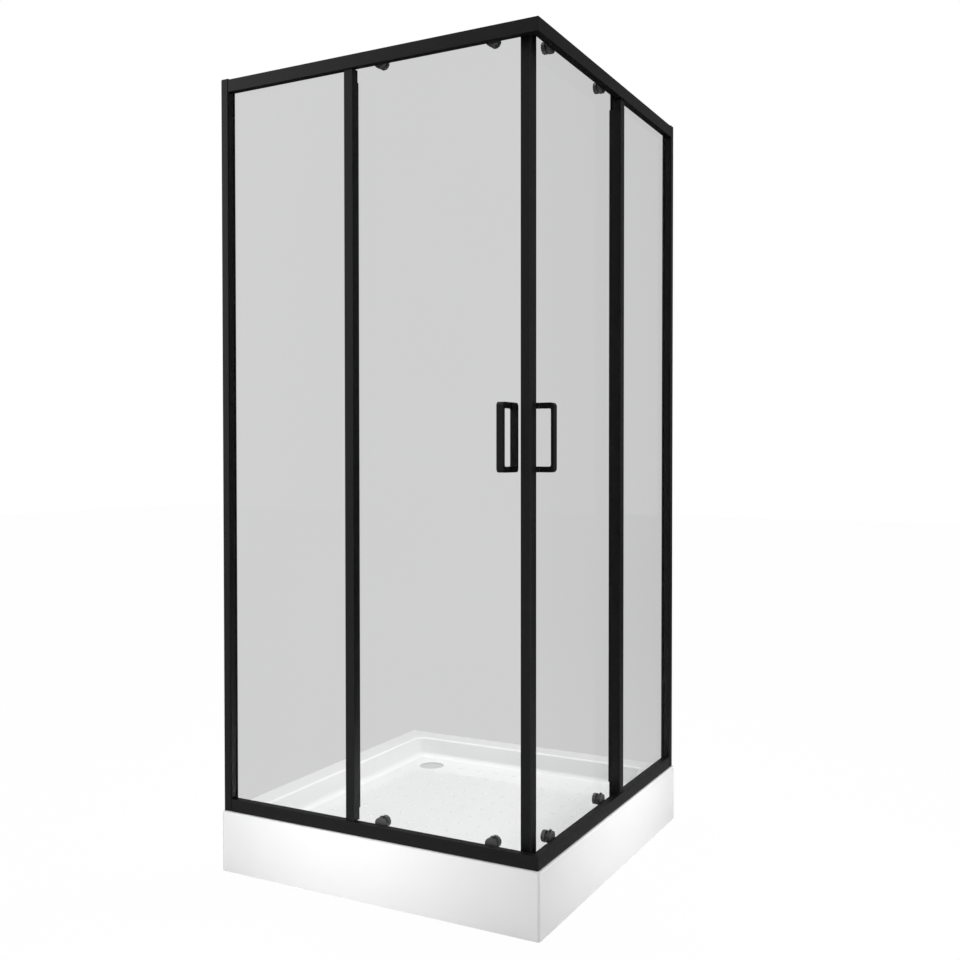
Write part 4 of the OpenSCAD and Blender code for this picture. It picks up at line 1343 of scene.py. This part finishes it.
@dataclass(frozen=True)
class Rollers:
    """Roller bodies, their axles, wheels, inner caps and release springs.

    Heights are above the tray's rim. Depths, whose names end in _d, run inwards from the rails'
    outer face, which is the pieces' own Z. The ring is its two radii and its depth, the axle's
    head its radius, its face's depth and its seat's, and a socket, the dish and the sleeve's play
    a radius and a depth. The grip draws some vertices of each groove in to a share of the radius,
    the web lies between its two radii, and a pushed spring keeps a share of its length.
    """

    along: Point = (131.6, 431.0)
    ends: tuple[str, str] = ("near", "far")
    top_z: float = 1832.5
    low_z: float = 28.5
    axle_zs: Point = (1837.0, 13.0)
    body_r: float = 15.0
    body_d: Point = (28.1, 39.1)
    face_d: float = 28.6
    ring: Triple = (11.3, 12.5, 0.6)
    ease: float = 0.15
    boss_r: float = 5.5
    housing_r: float = 12.5
    housing_stretch: float = 9.0
    housing_round: float = 1.5
    notch_z: float = 18.0
    bore_zs: Point = (21.0, 33.5)
    release_r: float = 3.7
    stem_half: float = 2.05
    button_half: Point = (3.65, 2.65)
    carrier_half: float = 5.15
    carrier_d: float = 36.75
    axle_r: float = 3.0
    axle_head: Triple = (5.0, 18.8, 21.0)
    axle_end: float = 34.95
    axle_socket: Point = (1.6, 1.4)
    cap_r: float = 14.0
    cap_d: Point = (44.1, 54.1)
    cap_round: float = 1.1
    cap_socket: Point = (3.2, 2.4)
    dish: Point = (9.5, 0.8)
    grooves: int = 12
    groove_sides: int = 8
    grip: tuple[tuple[tuple[int, ...], float], ...] = (((0,), 0.955), ((1, 7), 0.972))
    sleeve_r: float = 4.4
    sleeve_d: float = 37.1
    sleeve_play: Point = (0.1, 0.2)
    wheel_d: Point = (21.3, 27.8)
    flange_r: float = 7.0
    tread_r: float = 5.7
    wheel_bore_r: float = 3.05
    web: Point = (4.2, 5.4)
    spring_z: Point = (21.1, 31.7)
    spring_d: float = 32.7
    spring_r: float = 3.2
    wire: float = 0.6
    turns: int = 5
    kept: float = 0.67
    coil_smooth: float = 60.0

    def sleeve_bore(self) -> Work:
        """Cutter for the bore that takes the cap's sleeve.

        Returns:
            The cutter.
        """
        wide, deep = self.sleeve_play
        low, high = self.sleeve_d - deep, self.body_d[1] + PAST
        return Work.drum("sleeve_cutter", self.sleeve_r + wide, low, high, sides=32)

    def body(self) -> Work:
        """Top roller's body: a turned disc with a ring round its face, a boss and two bores.

        Returns:
            The body, about the roller's middle.
        """
        (low, high), face, r, ease = self.body_d, self.face_d, self.body_r, self.ease
        inner, outer, deep = self.ring
        body = Work.turned("roller_body", (
            (0, face), (inner - ease, face), (inner, face + ease), (inner + 0.1, face + deep),
            (outer - 0.1, face + deep), (outer, face + ease), (outer + ease, face),
            (r - 1.5, face), (r - 0.75, face + 0.2), (r - 0.2, face + 0.75), (r, face + 1.5),
            (r, high - 1.5), (r - 0.2, high - 0.75), (r - 0.75, high - 0.2), (r - 1.5, high),
            (0, high)), steps=72)
        rise, boss = (0, self.axle_zs[0] - self.top_z, 0), self.boss_r
        body.combine(Work.turned("boss", (
            (0, low), (boss - 0.3, low), (boss, low + 0.3), (boss, face + 0.4), (0, face + 0.4)),
            steps=40).moved(rise), "UNION")
        bore_end = self.axle_end + ease
        bore = Work.drum("axle_cutter", self.wheel_bore_r, low - PAST, bore_end, sides=32)
        return body.cut(bore.moved(rise)).cut(self.sleeve_bore())

    def housing(self) -> Work:
        """Bottom roller's housing: a round-ended block with its release's notch, bore and slots.

        Returns:
            The housing, about the roller's middle.
        """
        (low, high), r, mid = self.body_d, self.housing_r, self.spring_d
        block = Work.drum("housing", r, low, high, sides=64)
        for side in (-1, 1):
            block.pick("VERT", lambda co, side=side: co.x * side > NEAR)
            bpy.ops.transform.translate(value=(side * self.housing_stretch / 2, 0, 0))
        block.pick("EDGE", lambda a, b: abs(a.z - b.z) < NEAR)
        bpy.ops.mesh.bevel(offset=self.housing_round, segments=4)
        block.sew()
        notch, floor, slot = (z - self.low_z for z in (self.notch_z, *self.bore_zs))
        stem, (wide, deep) = self.stem_half, self.button_half
        bore = Work.drum("bore_cutter", self.release_r, floor, slot + NEAR, sides=32)
        block.cut(bore.moved((0, 0, mid), -90, "X"))
        for x, bottom, top, front, back in (
            (stem, -r - PAST, floor + NEAR, mid - stem, mid + stem),
            (wide, slot, r + PAST, mid - deep, mid + deep),
            (self.carrier_half, -r - PAST, notch, low - PAST, self.carrier_d),
        ):
            block.cut(Work.block("release_cutter", (-x, bottom, front), (x, top, back)))
        return block.cut(self.sleeve_bore())

    def axle(self) -> Work:
        """Axle with a crowned head and a hexagon socket.

        Returns:
            The axle.
        """
        (head, start, seat), r, end = self.axle_head, self.axle_r, self.axle_end
        axle = Work.turned("axle", (
            (0, start), (head - 1.4, start), (head - 0.5, start + 0.25), (head - 0.1, start + 0.8),
            (head, start + 1.3), (head, seat - self.ease), (head - self.ease, seat), (r, seat),
            (r, end - 0.4), (r - 0.4, end), (0, end)), steps=40)
        socket_r, deep = self.axle_socket
        return axle.pitted(socket_r, start - PAST, start + deep)

    def cap(self) -> Work:
        """Inner cap: a grip rim with grooves, a dished face, a hexagon socket and its sleeve.

        Returns:
            The cap with its sleeve.
        """
        (low, high), each = self.cap_d, self.groove_sides
        sides = each * self.grooves
        cap = Work.drum("grip_cap", self.cap_r, low, high, sides)
        for steps, share in self.grip:
            cap.pick("VERT", lambda co, steps=steps: round(
                math.atan2(co.y, co.x) / math.tau * sides) % each in steps)
            bpy.ops.transform.resize(value=(share, share, 1), center_override=(0, 0, 0))
        cap.pick("EDGE", lambda a, b: abs(a.z - b.z) < NEAR)
        bpy.ops.mesh.bevel(offset=self.cap_round, segments=3)
        cap.sew()
        (dish, sunk), (socket_r, deep) = self.dish, self.cap_socket
        cap.cut(Work.turned("dish_cutter", (
            (0, high - sunk), (dish - sunk, high - sunk), (dish, high), (dish, high + PAST),
            (0, high + PAST))))
        cap.pitted(socket_r, high - deep, high + PAST)
        r, end, root = self.sleeve_r, self.sleeve_d, low + 0.05
        return cap.add(Work.turned("sleeve", (
            (0, end), (r - 0.3, end), (r, end + 0.3), (r, root), (0, root)), steps=32))

    def wheel(self) -> Work:
        """Grooved wheel with rounded flanges, a sunk web on each side and its bore.

        Returns:
            The wheel.
        """
        (low, high), ease, (start, end) = self.wheel_d, self.ease, self.web
        bore, flange, tread = self.wheel_bore_r, self.flange_r, self.tread_r
        side = [
            (bore, ease), (bore + ease, 0), (start - 0.1, 0), (start + 0.1, 0.4), (end - 0.1, 0.4),
            (end + 0.1, 0), (flange - 0.7, 0), (flange - 0.2, 0.2), (flange, 0.7), (flange, 1.5),
            (flange - 0.2, 1.85), (tread + 0.2, 2.0), (tread, 2.2)]
        ring = [(r, low + d) for r, d in side] + [(r, high - d) for r, d in reversed(side)]
        return Work.turned("wheel", ring + ring[:1], steps=56)

    def spring(self) -> Work:
        """Compression spring of round wire, its foot at Z = 0.

        Returns:
            The spring.
        """
        low, high = self.spring_z
        spring = Work.start(
            "spring", bpy.ops.mesh.primitive_circle_add, vertices=10, radius=self.wire / 2,
            location=(self.spring_r, 0, self.wire / 2), rotation=(math.pi / 2, 0, 0))
        return spring.coiled((high - low - self.wire) / self.turns, self.turns, steps=28)

    def both(self, one: Work, *heights: float) -> Work:
        """Copies of a piece at both rollers and each height, on a face's drawing.

        Args:
            one: The piece, which is put away.
            *heights: The heights of its copies.

        Returns:
            The copies, joined.
        """
        group = Work.joined(
            one.copy().moved((s, z, 0)) for s in self.along for z in heights)
        one.discard()
        return group

    def build(self, fitter: Fitter) -> None:
        """Sets both faces' running gear down.

        Args:
            fitter: Puts it in its place.
        """
        groups = (
            (self.both(self.body(), self.top_z), "top_rollers", Slot.GREY),
            (self.both(self.housing(), self.low_z), "bottom_housings", Slot.GREY),
            (self.both(self.axle(), self.axle_zs[0]), "top_axles", Slot.STEEL),
            (self.both(self.cap(), self.top_z, self.low_z), "roller_caps", Slot.GREY),
        )
        wheel, spring = self.wheel(), self.spring()
        for face in Face:
            for work, ending, slot in groups:
                node = f"{face.value}_{ending}"
                fitter.set_down(
                    work, node + "_turned", face.drawn(), face.value + "_door", slot, [node])
            for s, end in zip(self.along, self.ends):
                self.fit_wheels(fitter, wheel, face, s, end)
                self.fit_spring(fitter, spring, face, s, end)
        for work in (wheel, spring, *(group[0] for group in groups)):
            work.discard()

    def fit_wheels(self, fitter: Fitter, wheel: Work, face: Face, s: float, end: str) -> None:
        """Sets the top and the bottom wheel of one end of a door down.

        Args:
            fitter: Puts them in their places.
            wheel: The wheel.
            face: The door's face.
            s: Distance from the entry corner.
            end: Which end of the door it is.
        """
        for level, z in zip(("top", "bottom"), self.axle_zs):
            node = f"{face.value}_{level}_{end}_wheel"
            copy = wheel.copy().moved((s, z, 0))
            fitter.set_down(copy, node + "_turned", face.drawn(), node, Slot.NYLON, [node])
            copy.discard()

    def fit_spring(self, fitter: Fitter, spring: Work, face: Face, s: float, end: str) -> None:
        """Sets the release spring of one end of a door down, with a mesh of its own.

        Args:
            fitter: Puts it in its place.
            spring: The spring.
            face: The door's face.
            s: Distance from the entry corner.
            end: Which end of the door it is.
        """
        foot = (s, self.spring_z[0], self.spring_d)
        coil = fitter.set_down(
            spring, f"{face.value}_{end}_coil", face.upright(*foot), face.value + "_door",
            Slot.STEEL, [face.value + "_release_springs"], self.coil_smooth)
        face.point(*foot)
        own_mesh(coil)


# Studio


@dataclass(frozen=True)
class Lamp:
    """A soft area lamp, aimed at a point."""

    name: str
    place: Triple
    aim: Triple
    size: Point
    power: float

    def hang(self) -> None:
        """Adds the lamp to the scene, where only its light shows."""
        data = bpy.data.lights.new(self.name, "AREA")
        data.shape = "RECTANGLE"
        data.size, data.size_y = self.size
        data.energy = self.power
        lamp = bpy.data.objects.new(self.name, data)
        lamp.location = self.place
        towards = Vector(self.aim) - Vector(self.place)
        lamp.rotation_euler = towards.to_track_quat("-Z", "Y").to_euler()
        lamp.visible_glossy = lamp.visible_transmission = lamp.visible_camera = False
        bpy.context.scene.collection.objects.link(lamp)


@dataclass(frozen=True)
class Camera:
    """The photograph's camera, fitted to the corners of the tray and the frame."""

    image_px: float = 960.0
    focal_px: float = 1069.05
    middle_px: Point = (520.765, 472.583)
    eye: Triple = (1.4561, -2.5217, 1.0621)
    pitch_deg: float = 1.0009
    yaw_deg: float = 26.9154
    sensor_mm: float = 36.0
    clip: Point = (0.05, 60.0)

    def set_up(self) -> None:
        """Adds the camera and makes it the scene's."""
        data = bpy.data.cameras.new("camera")
        data.sensor_width = self.sensor_mm
        data.lens = self.focal_px / self.image_px * self.sensor_mm
        half = self.image_px / 2
        data.shift_x = (half - self.middle_px[0]) / self.image_px
        data.shift_y = (self.middle_px[1] - half) / self.image_px
        data.clip_start, data.clip_end = self.clip
        camera = bpy.data.objects.new("camera", data)
        camera.location = self.eye
        camera.rotation_euler = (
            math.radians(90 - self.pitch_deg), 0.0, math.radians(self.yaw_deg))
        bpy.context.scene.collection.objects.link(camera)
        bpy.context.scene.camera = camera


@dataclass(frozen=True)
class Side:
    """A side of the world that is lighter than the rest.

    The span holds the cosines of the angle from the side between which the strength rises.
    """

    direction: Triple
    span: Point
    levels: Point
    flattened: Triple = (1.0, 1.0, 0.2)

    def strength(self, nodes: Nodes) -> Socket:
        """The world's strength by direction.

        Args:
            nodes: The world's node tree.

        Returns:
            The strength's output.
        """
        around = nodes.node("TexCoord", {}).outputs["Generated"]
        level = nodes.vector("NORMALIZE", nodes.vector("MULTIPLY", around, self.flattened))
        cosine = nodes.along(level, self.direction)
        return nodes.mapped(cosine, self.span, self.levels, "SMOOTHSTEP")


@dataclass(frozen=True)
class Studio:
    """Camera, lamps, world and floor, which are not part of the cabin."""

    seen: float = 1.0
    through_glass: float = 0.655
    ambient: float = 0.44
    walls: tuple[Side, Side] = (
        Side((-0.93, -0.37, 0.0), (0.80, 0.97), (0.13, 1.4)),
        Side((-0.2, 0.98, 0.0), (0.74, 0.88), (0.0, 0.25)),
    )
    open_side: Side = Side((1.0, 0.0, 0.0), (-0.1, 0.9), (0.54, 1.65))
    floor_colour: Triple = (0.75, 0.75, 0.75)
    floor_glow: float = 0.98
    # Painted shade: in reflections the floor glows far dimmer than it is seen, and fades dimmer
    # still across the span behind the cabin's walls.
    floor_shaded_gloss: Point = (0.2, 0.02)
    floor_behind: Triple = (-0.6, 0.8, 0.0)
    floor_shade_span: Point = (0.3, 1.6)
    floor_z: float = -0.0004
    floor_size: float = 30.0
    lamps: tuple[Lamp, ...] = (
        Lamp("key", (-0.1, -1.13, 0.3), (-0.1, -0.44, 0.1), (0.3, 0.8), 4.55),
        Lamp("fill", (1.2, 0.12, 0.3), (0.44, 0.12, 0.1), (0.4, 0.8), 6.2),
        Lamp("top", (0.0, 0.25, 4.2), (0.0, 0.1, 0.0), (1.3, 1.3), 122.0),
    )

    def by_ray(self, nodes: Nodes, gloss: Socket, indoors: Socket | None = None) -> Socket:
        """Strength of the white surroundings for each kind of ray.

        Args:
            nodes: The node tree that shows them.
            gloss: Strength in reflections.
            indoors: Strength as light that falls through the glass, where it isn't as it is seen.

        Returns:
            The strength's output.
        """
        path = nodes.node("LightPath", {}).outputs
        crossed = path["Is Transmission Ray"]
        bounced = nodes.reckon("MULTIPLY", crossed, path["Diffuse Depth"])
        mirrored = nodes.reckon("MINIMUM", path["Glossy Depth"], 1.0)
        strength = self.ambient
        for share, level in (
            (crossed, self.through_glass),
            (bounced, indoors or self.through_glass),
            (mirrored, gloss),
            (path["Is Camera Ray"], self.seen),
        ):
            mix = nodes.node("Mix", {"Factor": share, "A": strength, "B": level})
            strength = mix.outputs["Result"]
        return strength

    def world(self) -> None:
        """Sets a white world that lights softly and shows grey through glass."""
        world = bpy.data.worlds.new("white_surroundings")
        world.use_nodes = True
        bpy.context.scene.world = world
        nodes = Nodes(world.node_tree)
        shine = nodes.tree.nodes["Background"]
        nodes.feed(shine.inputs["Color"], (1.0, 1.0, 1.0, 1.0))
        gloss = nodes.reckon("MAXIMUM", *(wall.strength(nodes) for wall in self.walls))
        strength = self.by_ray(nodes, gloss, self.open_side.strength(nodes))
        nodes.feed(shine.inputs["Strength"], strength)

    def floor(self) -> None:
        """Lays a pale floor that keeps the cabin's shadow, with painted shade in its reflections:
        it mirrors dimmer than it is seen, and darker behind the cabin's walls.
        """
        bpy.ops.object.select_all(action="DESELECT")
        bpy.ops.mesh.primitive_plane_add(size=self.floor_size, location=(0, 0, self.floor_z))
        floor = bpy.context.object
        floor.name = "studio_floor"
        material = bpy.data.materials.new("pale_floor")
        material.use_nodes = True
        nodes = Nodes(material.node_tree)
        nodes.tree.nodes.clear()
        place = nodes.node("TexCoord", {}).outputs["Object"]
        # Painted shade: the floor's glow in reflections dims behind the cabin's walls.
        behind = nodes.along(place, self.floor_behind)
        gloss = nodes.mapped(behind, self.floor_shade_span, self.floor_shaded_gloss)
        glow = nodes.node("Emission", {"Strength": self.by_ray(nodes, gloss)})
        diffuse = nodes.node("BsdfDiffuse", {"Color": (*self.floor_colour, 1.0)})
        path = nodes.node("LightPath", {}).outputs
        share = nodes.reckon("MULTIPLY", path["Is Camera Ray"], self.floor_glow)
        for kind in ("Is Transmission Ray", "Is Glossy Ray"):
            share = nodes.reckon("MAXIMUM", share, path[kind])
        mix = nodes.node("MixShader", {0: share, 1: diffuse.outputs[0], 2: glow.outputs[0]})
        nodes.node("OutputMaterial", {"Surface": mix.outputs[0]})
        floor.data.materials.append(material)

    def build(self) -> None:
        """Sets up the whole studio."""
        bpy.context.scene.view_settings.view_transform = "Standard"
        Camera().set_up()
        self.world()
        self.floor()
        for lamp in self.lamps:
            lamp.hang()


def main() -> None:
    """Loads the frame, builds the pieces and dresses the cabin."""
    logging.basicConfig(level=logging.INFO, format="%(name)s: %(message)s")
    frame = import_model()
    Studio().build()
    finishes = Finishes()
    finishes.dress_nodes(frame)
    fitter = Fitter(frame, finishes)
    for part in (Tray(), Trim(), Panes(), Feet(), Screws(), Rollers()):
        part.build(fitter)
    bpy.context.view_layer.update()


if __name__ == "__main__":
    main()
